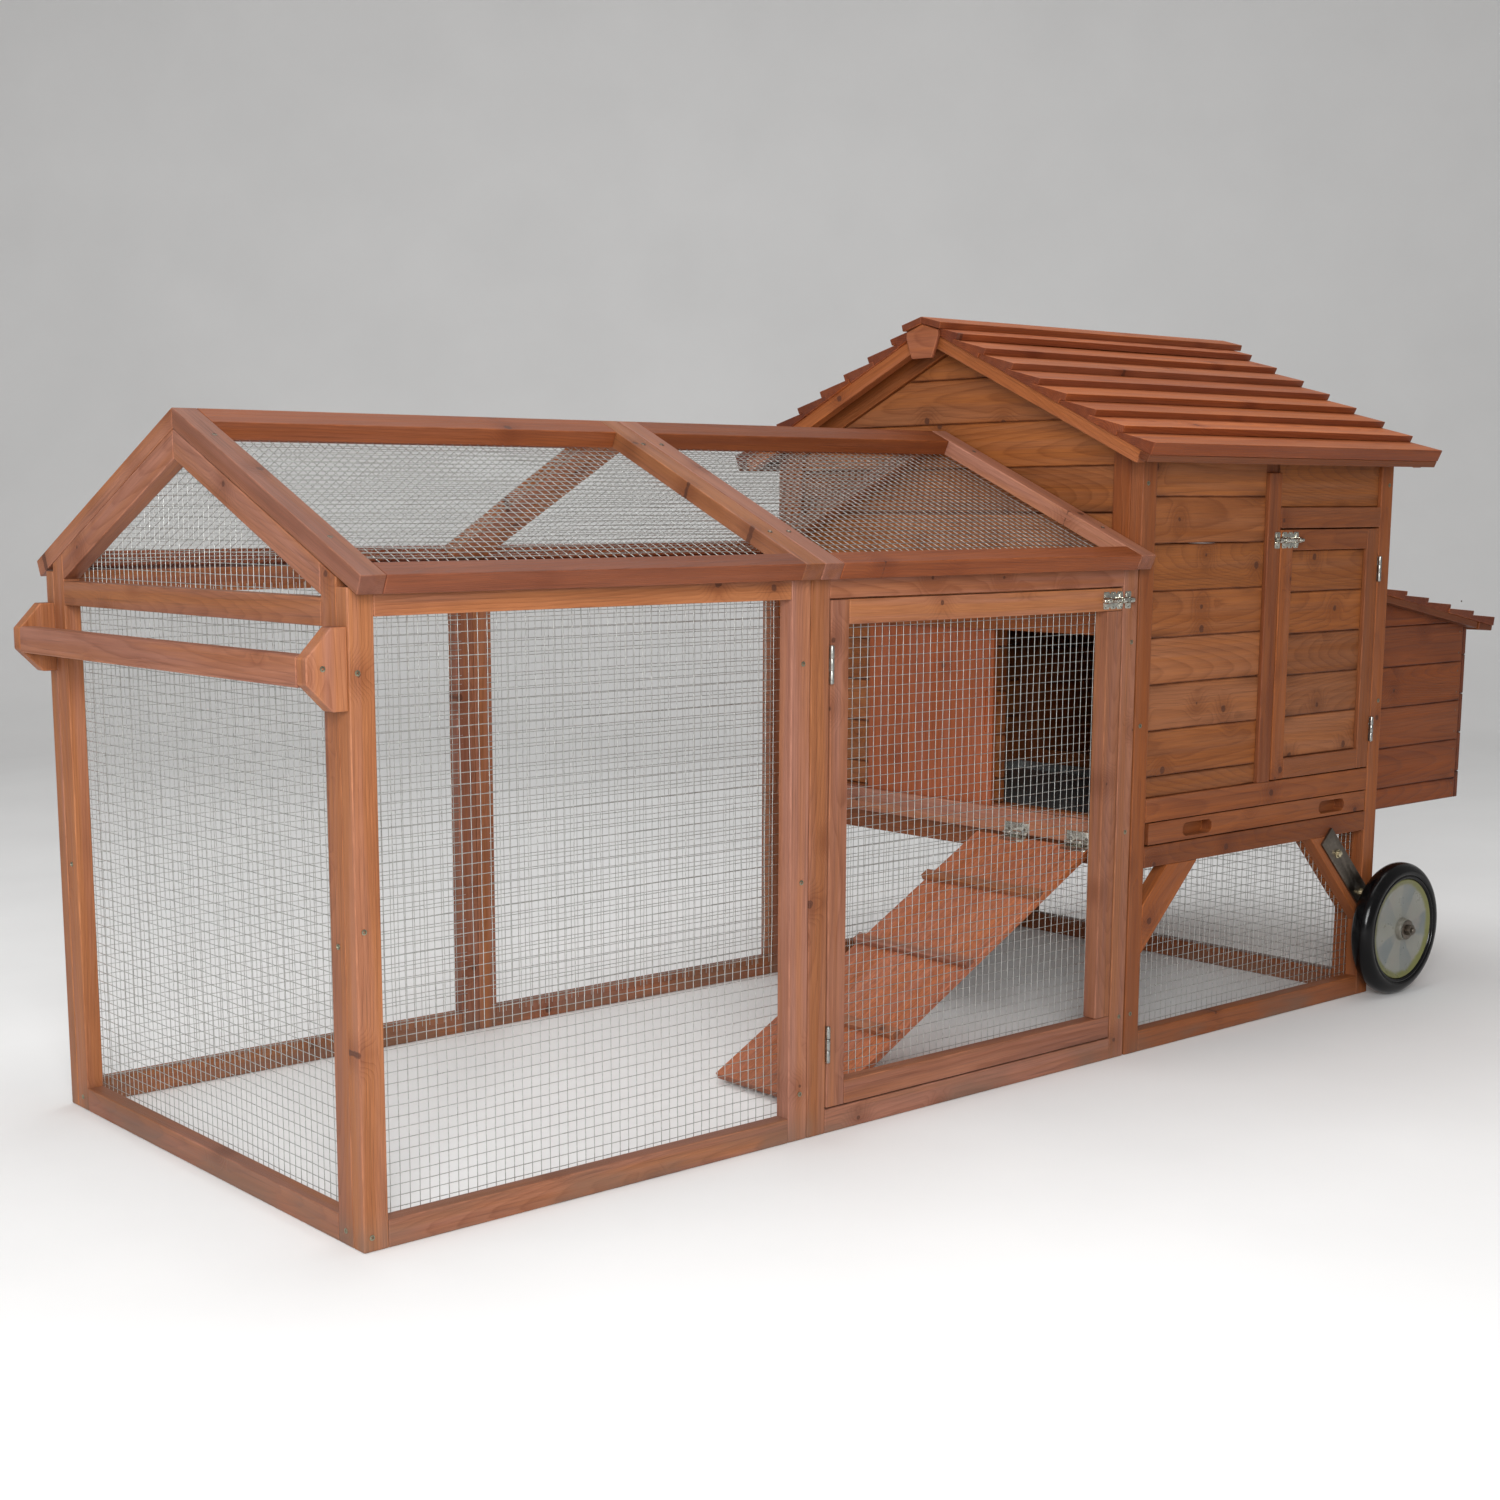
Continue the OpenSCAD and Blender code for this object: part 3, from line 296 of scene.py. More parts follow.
def metal(name, colour, rough, spots=0.25, grime=0.25):
    """Plated steel with crystal patches, fine scratches and clouds of dull grime."""
    g = Graph(name)
    place = g.place()
    crystals = g.add("ShaderNodeTexVoronoi", {"Vector": place, "Scale": 320.0}).outputs["Color"]
    patch = g.parts(crystals)[0]
    cloud = g.noise(place, 46.0, detail=4.0, rough=0.6)
    scratch = g.noise(g.stretch(place, 2600.0, 420.0))
    shade = g.span(patch, 0.0, 1.0, 1.0 - spots * 0.5, 1.0 + spots * 0.4)
    base = g.tint(colour, g.grey(shade))
    base = g.mix(g.span(cloud, 0.5, 0.75, 0.0, grime), base, (0.25, 0.22, 0.18))
    roughness = g.calc("ADD", g.span(cloud, 0.3, 0.7, rough - 0.08, rough + 0.14),
                       g.span(scratch, 0.3, 0.7, -0.05, 0.05), clamp=True)
    relief = g.plus(g.times(scratch, 0.3), cloud)
    return g.finish(relief, 0.00008, Base_Color=base, Roughness=roughness, Metallic=1.0)


def rubber(name):
    """Glossy black rubber with a little dust."""
    g = Graph(name)
    place = g.place()
    dust = g.noise(place, 55.0, detail=5.0, rough=0.65)
    fine = g.noise(place, 900.0)
    colour = g.mix(g.span(dust, 0.5, 0.8, 0.0, 0.16), (0.0015, 0.0015, 0.002),
                   (0.016, 0.015, 0.014))
    roughness = g.plus(g.span(dust, 0.3, 0.75, 0.10, 0.30), g.span(fine, 0.0, 1.0, -0.03, 0.03))
    return g.finish(g.plus(dust, g.times(fine, 0.3)), 0.0001, Base_Color=colour,
                    Roughness=roughness, Specular_IOR_Level=0.25)


def milky(name, centre):
    """The hub's cloudy plastic. Ribs show through it, and the rim is stained yellow."""
    g = Graph(name)
    place = g.vector("SUBTRACT", g.place(), centre)
    px, _, pz = g.parts(place)
    reach = g.vector("LENGTH", g.join(px, 0.0, pz))
    angle = g.calc("ARCTAN2", pz, px)
    cloud = g.noise(place, 30.0, detail=4.0, rough=0.6)
    # Five bluish sectors between the ribs
    bent = g.plus(angle, g.span(cloud, 0.0, 1.0, -0.16, 0.16))
    rib = g.span(g.calc("COSINE", g.times(bent, 5.0)), -0.1, 0.35, smooth=True)
    rib = g.times(rib, g.span(reach, 0.015, 0.034))
    rib = g.times(rib, g.span(g.noise(place, 12.0), 0.35, 0.6, 0.25, 1.0))
    colour = g.mix(g.times(rib, 0.75), (0.235, 0.235, 0.205), (0.125, 0.15, 0.16))
    colour = g.mix(g.span(cloud, 0.5, 0.7, 0.0, 0.55), colour, (0.28, 0.245, 0.215))
    # The yellow rim has a ragged edge, and a dark band rings the boss
    rim = g.plus(reach, g.span(g.noise(place, 60.0, detail=3.0), 0.0, 1.0, -0.006, 0.006))
    colour = g.mix(g.span(rim, 0.0695, 0.0765, smooth=True), colour, (0.165, 0.165, 0.055))
    from_boss = g.calc("ABSOLUTE", g.minus(reach, 0.0175))
    colour = g.mix(g.span(from_boss, 0.0, 0.003, 0.6, 0.0), colour, (0.10, 0.085, 0.06))
    return g.finish(cloud, 0.0003, Base_Color=colour, Roughness=g.span(cloud, 0.3, 0.7, 0.24, 0.42),
                    Subsurface_Weight=0.25, Subsurface_Radius=(0.01, 0.009, 0.007),
                    Subsurface_Scale=0.6, Specular_IOR_Level=0.5)


# Each wood has a pale colour, a deep colour and a knot colour
run_wood = wood("run_fir", (0.347, 0.145, 0.078), (0.200, 0.068, 0.031), (0.085, 0.027, 0.014),
                knots=0.6)
rail_wood = wood("rail_fir", (0.255, 0.078, 0.031), (0.154, 0.039, 0.013), (0.070, 0.022, 0.012))
house_wood = wood("house_fir", (0.262, 0.083, 0.025), (0.155, 0.041, 0.011), (0.075, 0.021, 0.009))
trim_wood = wood("trim_fir", (0.367, 0.123, 0.046), (0.214, 0.061, 0.021), (0.090, 0.026, 0.012))
plank_wood = wood("plank_fir", (0.322, 0.117, 0.039), (0.190, 0.059, 0.016), (0.080, 0.024, 0.010),
                  knots=0.5, ring=0.0038, contrast=0.42, tilt=0.11, dirt_and_shade_grooves=True)
# Painted shade: a darker copy of the plank timber, as the light falls off towards the nest box
shaded_nest_wood = wood("shaded_nest_fir", (0.232, 0.063, 0.016), (0.134, 0.031, 0.007), (0.065, 0.019, 0.008),
                 ring=0.0038, contrast=0.42, tilt=0.11, dirt_and_shade_grooves=True)
roof_wood = wood("roof_fir", (0.473, 0.147, 0.049), (0.253, 0.060, 0.018), (0.080, 0.022, 0.010),
                 knots=0.15, contrast=0.4, side_shade=0.9)
# Painted shade: a darker copy of the roof timber for the eave battens and the lid bars, which face
# down and away from the light
shaded_roof_wood = wood("shaded_roof_fir", (0.162, 0.047, 0.013), (0.090, 0.020, 0.005), (0.060, 0.016, 0.008),
                 knots=0.15, contrast=0.4)
ramp_wood = wood("ramp_board", (0.468, 0.164, 0.070), (0.290, 0.082, 0.032), (0.170, 0.060, 0.030),
                 knots=0.03, contrast=0.2, speckle=0.26)
door_wood = wood("pop_board", (0.389, 0.109, 0.045), (0.256, 0.062, 0.024), (0.150, 0.048, 0.025),
                 knots=0.04, contrast=0.26)
# Each metal has its colour and its roughness
zinc = metal("bright_zinc", (0.56, 0.55, 0.49), 0.2, spots=0.5)
wire = metal("galvanised_wire", (0.54, 0.55, 0.53), 0.34, spots=0.3)
hinge_steel = metal("hinge_steel", (0.36, 0.36, 0.34), 0.3, spots=0.5)
arm_steel = metal("dull_steel", (0.17, 0.145, 0.12), 0.4, grime=0.4)
dull_zinc = metal("dull_zinc", (0.30, 0.30, 0.22), 0.36)
brassy = metal("passivated_zinc", (0.62, 0.55, 0.36), 0.24)
screw_steel = metal("screw_steel", (0.17, 0.14, 0.11), 0.38)
pan_steel = metal("tray_sheet", (0.42, 0.43, 0.43), 0.5, spots=0.5)
tyre_rubber = rubber("tyre_rubber")


# ---------- Meshes ----------

def islands(node):
    """Each closed solid of a CAD node as a bmesh, with its flat faces made whole again."""
    whole = bmesh.new()
    whole.from_mesh(frame["nodes"][node].data)
    bmesh.ops.remove_doubles(whole, verts=whole.verts[:], dist=4e-6)
    bmesh.ops.dissolve_limit(whole, angle_limit=math.radians(0.4), verts=whole.verts[:],
                             edges=whole.edges[:])
    seen = set()
    found = []
    for seed in whole.verts:
        if seed in seen:
            continue
        seen.add(seed)
        group = [seed]
        for vert in group:  # the list grows while it is walked
            for e in vert.link_edges:
                other = e.other_vert(vert)
                if other not in seen:
                    seen.add(other)
                    group.append(other)
        bm = bmesh.new()
        copy = {vert: bm.verts.new(vert.co) for vert in group}
        for face in dict.fromkeys(f for vert in group for f in vert.link_faces):
            bm.faces.new([copy[vert] for vert in face.verts])
        bm.normal_update()
        found.append(bm)
    whole.free()
    found.sort(key=lambda b: tuple(round(c, 4) for c in centre_of(b)))
    return found


def corners_of(bm):
    low = Vector([min(v.co[i] for v in bm.verts) for i in range(3)])
    high = Vector([max(v.co[i] for v in bm.verts) for i in range(3)])
    return low, high


def centre_of(bm):
    low, high = corners_of(bm)
    return (low + high) / 2


def size_of(bm):
    low, high = corners_of(bm)
    return high - low


def broadest_face(bm, along=None):
    """The largest face that isn't an end. Of equal ones it is the one that looks to the front."""
    front = Vector((-0.3, -0.5, 0.8))
    faces = [f for f in bm.faces if along is None or abs(f.normal.dot(along)) < 0.2]
    least = max(f.calc_area() for f in faces) * 0.999
    broad = [f for f in faces if f.calc_area() > least]
    return max(broad, key=lambda f: round(f.normal.dot(front), 3))


def axes_of(bm):
    """The board's own axes: its length, its width and its thickness."""
    way = Vector((0.9, 0.5, 0.7))
    runs = [e.verts[1].co - e.verts[0].co for e in bm.edges]
    runs = [-run if run.dot(way) < 0 else run for run in runs]
    least = max(run.length for run in runs) - 1e-5
    longest = [run for run in runs if run.length > least]
    along = max(longest, key=lambda run: round(run.dot(way), 4)).normalized()
    across = broadest_face(bm, along).normal.cross(along).normalized()
    return along, across, along.cross(across)


class Piece:
    """Gathers solids into one named mesh that rides on a body and stands for CAD nodes."""

    def __init__(self, name, body, *stands_for, slot):
        self.name, self.body, self.stands_for, self.slot_name = name, body, stands_for, slot
        self.verts, self.faces, self.grain, self.tone, self.reach = [], [], [], [], []
        self.end, self.edge, self.side, self.smooth = [], [], [], []
        self.material_index, self.materials = [], []

    def add(self, bm, material, smooth=False, grain=None, tone=(0.5, 0.5, 0.5), end=None,
            edge=None, side=None, extent=(1, 1, 1)):
        """Takes over a bmesh. Boards also give what the wood materials read at each place."""
        if material not in self.materials:
            self.materials.append(material)
        slot = self.materials.index(material)
        start = len(self.verts)
        bm.verts.index_update()
        for vert in bm.verts:
            self.verts.append(tuple(vert.co))
            local = grain(vert.co) if grain else vert.co
            self.grain.append(tuple(local))
            self.reach.append([c / e for c, e in zip(local, extent)])
            self.tone.append(tone)
        for face in bm.faces:
            self.faces.append([start + v.index for v in face.verts])
            self.end.append(end(face) if end else 0.0)
            self.edge.append(1.0 if edge and face in edge else 0.0)
            self.side.append(side(face) if side else 0.0)
            self.material_index.append(slot)
            self.smooth.append(smooth)
        bm.free()

    def build(self, sharp=34):
        mesh = bpy.data.meshes.new(self.name)
        mesh.from_pydata(self.verts, [], self.faces)
        for material in self.materials:
            mesh.materials.append(material)
        mesh.polygons.foreach_set("material_index", self.material_index)
        mesh.polygons.foreach_set("use_smooth", self.smooth)
        for name, values in (("grain", self.grain), ("tone", self.tone), ("reach", self.reach)):
            layer = mesh.attributes.new(name, "FLOAT_VECTOR", "POINT")
            layer.data.foreach_set("vector", np.array(values, np.float32).ravel())
        for name, values in (("end", self.end), ("edge", self.edge), ("side", self.side)):
            layer = mesh.attributes.new(name, "FLOAT", "FACE")
            layer.data.foreach_set("value", np.array(values, np.float32))
        mesh.update()
        if any(self.smooth):
            mesh.set_sharp_from_angle(angle=math.radians(sharp))
        obj = bpy.data.objects.new(self.name, mesh)
        bpy.context.scene.collection.objects.link(obj)
        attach(obj, self.body)
        if self.stands_for:
            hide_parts(*self.stands_for)


def piece_for(node, prefix):
    """An empty piece that stands for one CAD node."""
    return Piece(prefix + node, body_of_node[node], node, slot=slot_of_node[node])


def bevel_sharp(bm, size, least=25):
    """Rounds every edge sharper than least degrees, and returns the new faces."""
    sharp = [e for e in bm.edges
             if len(e.link_faces) == 2 and e.calc_face_angle(0) > math.radians(least)]
    made = bmesh.ops.bevel(bm, geom=sharp, offset=size, offset_type="OFFSET", segments=2,
                           profile=0.5, affect="EDGES", clamp_overlap=True)
    bm.normal_update()
    return set(made["faces"])


def slice_along(bm, along, step):
    """Cuts a board across every step or so, so that it can bend."""
    reach = [v.co.dot(along) for v in bm.verts]
    low, high = min(reach), max(reach)
    cuts = int((high - low) / step)
    for k in range(1, cuts):
        geom = bm.verts[:] + bm.edges[:] + bm.faces[:]
        at = along * (low + (high - low) * k / cuts)
        bmesh.ops.bisect_plane(bm, geom=geom, plane_co=at, plane_no=along, dist=1e-6)


def add_board(piece, bm, material, rng, bevel=0.0014, bow=0.0005, shift=0.0, turn=0.0):
    """One board: rounded edges, a slight bow and an uneven surface, with its grain axes."""
    step, unevenness = 0.06, 0.00012
    along, across, out = axes_of(bm)
    middle = centre_of(bm)
    extent = [max(max(abs((v.co - middle).dot(axis)) for v in bm.verts), 1e-4)
              for axis in (along, across, out)]
    half = extent[0]
    marks = bm.faces.layers.int.new("bevelled")
    for face in bevel_sharp(bm, bevel):
        face[marks] = 1
    if half > step:
        slice_along(bm, along, step)
    bm.normal_update()
    lift, swing = rng.uniform(-bow, bow), rng.uniform(-bow, bow) * 0.6
    slide = along * rng.uniform(-shift, shift)
    spin = Matrix.Rotation(rng.uniform(-turn, turn), 3, out)
    tone = (rng.random(), rng.random(), rng.random())
    seed = Vector(tone) * 40
    axes = Matrix((along, across, out))
    for vert in bm.verts:
        local = vert.co - middle
        arch = 1 - (local.dot(along) / half) ** 2
        uneven = noise.noise_vector(local * 22 + seed) * unevenness
        bend = out * lift * arch + across * swing * arch
        vert.co = middle + spin @ local + bend + uneven + slide
    piece.add(bm, material, grain=lambda p: axes @ (p - middle), tone=tone, extent=extent,
              end=lambda f: 1.0 if abs(f.normal.dot(along)) > 0.75 else 0.0,
              side=lambda f: 1.0 if abs(f.normal.dot(across)) > 0.7 else 0.0,
              edge={f for f in bm.faces if f[marks]})


def wooden(node, material, seed, lengthwise=None, **options):
    """The boards of one CAD node as one piece. Those along X may be of another timber."""
    rng = random.Random(seed)
    piece = piece_for(node, "wood_")
    for bm in islands(node):
        along_x = lengthwise and abs(axes_of(bm)[0].x) > 0.9
        add_board(piece, bm, lengthwise if along_x else material, rng, **options)
    piece.build()


def hard(node, material, bevel=0.0003):
    """The solids of a metal node with finely rounded edges."""
    piece = piece_for(node, "metal_")
    for bm in islands(node):
        bevel_sharp(bm, bevel, least=40)
        piece.add(bm, material, smooth=True)
    piece.build()


def turned_points(origin, a, b, radius, sides):
    """Points around a circle in the plane of a and b."""
    angles = (2 * math.pi * k / sides for k in range(sides))
    return [origin + radius * (a * math.cos(t) + b * math.sin(t)) for t in angles]


def tube(path, radius, side_axis):
    """A closed five-sided tube along a path of points."""
    sides = 5
    bm = bmesh.new()
    rings = []
    for i, p in enumerate(path):
        d = (path[min(i + 1, len(path) - 1)] - path[max(i - 1, 0)]).normalized()
        a = (side_axis - d * side_axis.dot(d)).normalized()
        rings.append([bm.verts.new(q) for q in turned_points(p, a, d.cross(a), radius, sides)])
    for one, two in zip(rings, rings[1:]):
        for k in range(sides):
            n = (k + 1) % sides
            bm.faces.new((one[k], one[n], two[n], two[k]))
    bm.faces.new(rings[0][::-1])
    bm.faces.new(rings[-1])
    return bm


def lathe(profile, origin, axis, sides, closed=False):
    """Turns a (radius, height) profile about an axis. A closed profile makes a ring."""
    a = axis.orthogonal().normalized()
    b = axis.cross(a)
    bm = bmesh.new()
    rings = []
    for r, h in profile:
        middle = origin + axis * h
        points = [middle] if r < 1e-7 else turned_points(middle, a, b, r, sides)
        rings.append([bm.verts.new(p) for p in points])
    pairs = list(zip(rings, rings[1:])) + ([(rings[-1], rings[0])] if closed else [])
    for one, two in pairs:
        for k in range(sides):
            n = (k + 1) % sides
            if len(one) == 1:
                bm.faces.new((one[0], two[n], two[k]))
            elif len(two) == 1:
                bm.faces.new((one[k], one[n], two[0]))
            else:
                bm.faces.new((one[k], one[n], two[n], two[k]))
    bmesh.ops.recalc_face_normals(bm, faces=bm.faces[:])
    return bm


def in_mm(profile):
    return [(r * MM, h * MM) for r, h in profile]


# ---------- Timber ----------

PLANKS = {"bevel": 0.002, "bow": 0.0007, "turn": 0.0012}
TIMBER = (
    ("near_run_frames", run_wood, {}),
    ("far_run_frames", run_wood, {}),
    ("run_end_frame", run_wood, {}),
    ("run_roof_frames", run_wood, {"lengthwise": rail_wood}),
    ("handle_brackets", run_wood, {"bevel": 0.0016}),
    ("handle_bar", run_wood, {"bevel": 0.002}),
    ("house_side_frames", house_wood, {}),
    ("corner_braces", house_wood, {}),
    ("house_front_frame", house_wood, {}),
    ("house_rear_frame", house_wood, {}),
    ("side_wall_planks", plank_wood, PLANKS),
    ("front_wall_planks", plank_wood, PLANKS),
    ("rear_wall_planks", plank_wood, PLANKS),
    ("threshold_board", run_wood, {}),
    ("pop_door_guide", house_wood, {}),
    ("tray_runners", house_wood, {}),
    ("roost_bar", house_wood, {"bevel": 0.004}),
    ("roof_boards", roof_wood, {"bevel": 0.0009, "bow": 0.0008, "shift": 0.002, "turn": 0.0006}),
    ("ridge_cap", roof_wood, {"bevel": 0.0012, "bow": 0.0006}),
    ("barge_boards", trim_wood, {}),
    ("eave_battens", shaded_roof_wood, {"bevel": 0.0006, "bow": 0.0003}),
    ("finial_blocks", trim_wood, {"bevel": 0.002}),
    ("roof_rafters", house_wood, {}),
    ("nest_box_planks", shaded_nest_wood, {"bevel": 0.002, "bow": 0.0006, "turn": 0.0008}),
    ("nest_box_floor", plank_wood, {}),
    ("nest_divider", plank_wood, {}),
    ("run_door_frame", run_wood, {}),
    ("house_door_frame", house_wood, {}),
    ("house_door_planks", plank_wood, {"bevel": 0.002, "bow": 0.0006, "turn": 0.0012}),
    ("tray_front", house_wood, {"bevel": 0.0016}),
    ("ramp_board", ramp_wood, {"bevel": 0.0008, "bow": 0.0012}),
    ("ramp_cleats", run_wood, {"bevel": 0.0009, "shift": 0.001, "turn": 0.006}),
    ("pop_door", door_wood, {"bevel": 0.0008}),
    ("lid_boards", roof_wood, {"bevel": 0.0009, "bow": 0.0006, "shift": 0.002}),
    ("lid_bars", shaded_roof_wood, {}),
)
for seed, (node, material, options) in enumerate(TIMBER, start=12):
    wooden(node, material, seed, **options)


# ---------- Mesh ----------

def crossings(points, at, axis):
    """Where an outline meets the line that lies along axis at a given place on the other."""
    other = 1 - axis
    hits = []
    for p, q in zip(points, points[1:] + points[:1]):
        if (p[other] - at) * (q[other] - at) < 0:
            share = (at - p[other]) / (q[other] - p[other])
            hits.append(p[axis] + share * (q[axis] - p[axis]))
    return sorted(hits)


def wavy_path(start, stop, steps, normal, level):
    """Points from start to stop, moved by the waves and the sag of the place they are in."""
    wave_height, sag_height = 0.5 * MM, 1.6 * MM
    path = []
    for i in range(steps + 1):
        p = start + (stop - start) * i / steps
        wave = noise.noise_vector(p * 26) * wave_height
        sag = noise.noise(p * 7) * sag_height
        path.append(p + wave + normal * (sag + level))
    return path


def wire_panel(piece, bm, pitch=0.0127, radius=0.00048, margin=0.002):
    """Welded wires over one CAD mesh sheet: two crossing sets that share the same waves."""
    face = broadest_face(bm)
    normal = face.normal.copy()
    outline = [v.co.copy() for v in face.verts]
    thick = max(abs((v.co - outline[0]).dot(normal)) for v in bm.verts)
    bm.free()
    corner = min(outline, key=lambda p: round(p.dot(Vector((0.5, 0.3, 0.8))), 4))
    middle = corner - normal * thick / 2
    flat = Z if abs(normal.z) < 0.3 else X
    one = (flat - normal * flat.dot(normal)).normalized()
    two = normal.cross(one)
    points = [((p - middle).dot(one), (p - middle).dot(two)) for p in outline]
    for axis, along, across, level in ((0, one, two, radius), (1, two, one, -radius)):
        places = [p[1 - axis] for p in points]
        first = math.ceil((min(places) + margin) / pitch)
        last = math.ceil((max(places) - margin) / pitch)
        for at in (k * pitch for k in range(first, last)):
            hits = crossings(points, at, axis)
            if len(hits) == 2 and hits[1] - hits[0] > 2 * pitch:
                start, stop = (middle + along * hit + across * at for hit in hits)
                steps = max(2, int((hits[1] - hits[0]) / (2 * pitch)))
                path = wavy_path(start, stop, steps, normal, level)
                piece.add(tube(path, radius, normal), wire, smooth=True)


for node in ("run_side_mesh", "run_end_mesh", "run_roof_mesh", "under_house_mesh",
             "run_door_mesh"):
    piece = piece_for(node, "wires_")
    for bm in islands(node):
        wire_panel(piece, bm)
    piece.build(sharp=80)


# ---------- Fittings ----------

FOOT = 1.15 * MM      # how far a strap's feet stand off the wood
HEAD = 1.2 * MM       # how far a plate's screws stand off the wood
SCREW_ROW = 9.9 * MM  # how far a plate's screws lie above and below the bolt


def screw(piece, at, out, radius, material, turn):
    """A countersunk screw head with a cross recess, standing a little proud of the surface."""
    a = out.orthogonal().normalized()
    b = out.cross(a)
    a, b = (a * math.cos(turn) + b * math.sin(turn)), (b * math.cos(turn) - a * math.sin(turn))

    def point(x, y, h):
        return at + radius * (a * x + b * y) + out * h * radius

    bm = bmesh.new()
    arm, thick = 0.6, 0.16
    quarter = [(arm, thick), (thick, thick), (thick, arm)]
    cross = []
    for _ in range(4):
        cross += quarter
        quarter = [(-y, x) for x, y in quarter]
    top = [bm.verts.new(point(x, y, 0.26)) for x, y in cross]
    floor = [bm.verts.new(point(x * 0.75, y * 0.75, -0.1)) for x, y in cross]
    rim, base = [], []
    for x, y in cross:
        t = math.atan2(y, x)
        rim.append(bm.verts.new(point(math.cos(t) * 0.96, math.sin(t) * 0.96, 0.16)))
        base.append(bm.verts.new(point(math.cos(t), math.sin(t), -0.1)))
    for k in range(len(cross)):
        n = (k + 1) % len(cross)
        bm.faces.new((top[k], top[n], floor[n], floor[k]))
        bm.faces.new((rim[k], rim[n], top[n], top[k]))
        bm.faces.new((base[k], base[n], rim[n], rim[k]))
    bm.faces.new(floor)
    bm.faces.new(base[::-1])
    bmesh.ops.recalc_face_normals(bm, faces=bm.faces[:])
    piece.add(bm, material, smooth=True)


def outline_slab(points, origin, u, v, n, thick):
    """An outline drawn in u and v, standing from origin out along n."""
    bm = bmesh.new()
    low = [bm.verts.new(origin + u * x + v * y) for x, y in points]
    high = [bm.verts.new(origin + u * x + v * y + n * thick) for x, y in points]
    bm.faces.new(low[::-1])
    bm.faces.new(high)
    for k in range(len(points)):
        m = (k + 1) % len(points)
        bm.faces.new((low[k], low[m], high[m], high[k]))
    bmesh.ops.recalc_face_normals(bm, faces=bm.faces[:])
    return bm


def lobed_plate(piece, at, length, lobes):
    """A pressed plate 24 mm tall, with nicks between its lobes at top and bottom."""
    half, nick, r = 12 * MM, 2.6 * MM, 1.6 * MM
    edge = [(0, r), (r * 0.3, r * 0.3), (r, 0)]
    for k in range(1, lobes):
        x = length * k / lobes
        edge += [(x - 2.2 * MM, 0), (x - 0.8 * MM, nick), (x + 0.8 * MM, nick), (x + 2.2 * MM, 0)]
    edge += [(length - r, 0), (length - r * 0.3, r * 0.3), (length, r)]
    points = [(x, y - half) for x, y in edge] + [(x, half - y) for x, y in edge[::-1]]
    bm = outline_slab(points, at, X, Z, -Y, 1.1 * MM)
    bevel_sharp(bm, 0.25 * MM)
    piece.add(bm, zinc, smooth=True)


def strap(piece, at, width, rise):
    """A pressed strap that arches over the bolt, rise above the plate, with two feet."""
    outer, inner, foot, sheet = 4.4 * MM, 3.2 * MM, 8.6 * MM, 0.9 * MM
    arc = [math.pi * k / 10 for k in range(11)]
    points = [(foot, 0), (foot, sheet), (outer, sheet)]
    points += [(outer * math.cos(t), rise + outer * math.sin(t)) for t in arc]
    points += [(-outer, sheet), (-foot, sheet), (-foot, 0), (-inner, 0)]
    points += [(-inner * math.cos(t), rise + inner * math.sin(t)) for t in arc]
    points += [(inner, 0)]
    bm = outline_slab(points, at, Z, -Y, X, width)
    bevel_sharp(bm, 0.2 * MM, least=50)
    piece.add(bm, zinc, smooth=True)


def plate_screws(piece, x, wall, height, turn):
    """One screw above the bolt and one below it."""
    for z in (-SCREW_ROW, SCREW_ROW):
        screw(piece, Vector((x, wall - HEAD, height + z)), -Y, 1.7 * MM, zinc, turn)


def latch(door, facing):
    """The case and the bolt of one door's latch. The bolt shoots towards facing, +1 or -1.

    Returns where its keeper belongs: the height, the wall and the rise of the bolt above it."""
    case_low, case_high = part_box(door + "_latch")
    rod_low, rod_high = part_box(door + "_bolt")
    rod_y = rod_high.y - 3 * MM
    height = (case_low.z + case_high.z) / 2
    wall = case_high.y
    rise = wall - rod_y - FOOT
    case = Piece("case_" + door, door, door + "_latch", slot="zinc_steel")
    lobed_plate(case, Vector((case_low.x, wall, height)), case_high.x - case_low.x, 3)
    width = 7 * MM
    for x in (case_low.x + 0.5 * MM, case_high.x - width - 0.5 * MM):
        strap(case, Vector((x, wall - FOOT, height)), width, rise)
    for x in (case_low.x + 4 * MM, case_high.x - 4 * MM, (case_low.x + case_high.x) / 2):
        plate_screws(case, x, wall, height, x * 900)
    case.build()

    rod = Piece("rod_" + door, door + "_bolt", door + "_bolt", slot="zinc_steel")
    tail = Vector((rod_low.x if facing > 0 else rod_high.x, rod_y, height))
    length = (rod_high.x - rod_low.x) / MM
    profile = [(0, 0), (2.2, 0), (2.9, 0.6), (2.98, 1.4), (2.98, length - 2), (2.6, length - 0.8),
               (1.6, length - 0.1), (0, length)]
    rod.add(lathe(in_mm(profile), tail, X * facing, 28), zinc, smooth=True)
    knob = [(0, 1.5), (1.9, 1.5), (1.9, 6.6), (1.5, 7.2), (2.1, 7.9), (2.6, 8.8), (2.6, 9.7),
            (2.0, 10.6), (1.0, 11.0), (0, 11.0)]
    rod.add(lathe(in_mm(knob), tail + X * facing * 17.5 * MM, -Y, 20), zinc, smooth=True)
    rod.build()
    return height, wall, rise


def bolt_keepers(places):
    """The keepers on the coop, each in line with the latch at its own height."""
    piece = Piece("keepers", "coop", "bolt_keepers", slot="zinc_steel")
    for bm in islands("bolt_keepers"):
        low, high = corners_of(bm)
        bm.free()
        height, wall, rise = min(places, key=lambda p: abs(p[0] - (low.z + high.z) / 2))
        lobed_plate(piece, Vector((low.x, wall, height)), high.x - low.x, 1)
        strap(piece, Vector((low.x + 2 * MM, wall - FOOT, height)), 9 * MM, rise)
        plate_screws(piece, (low.x + high.x) / 2, wall, height, 0.7)
    piece.build()


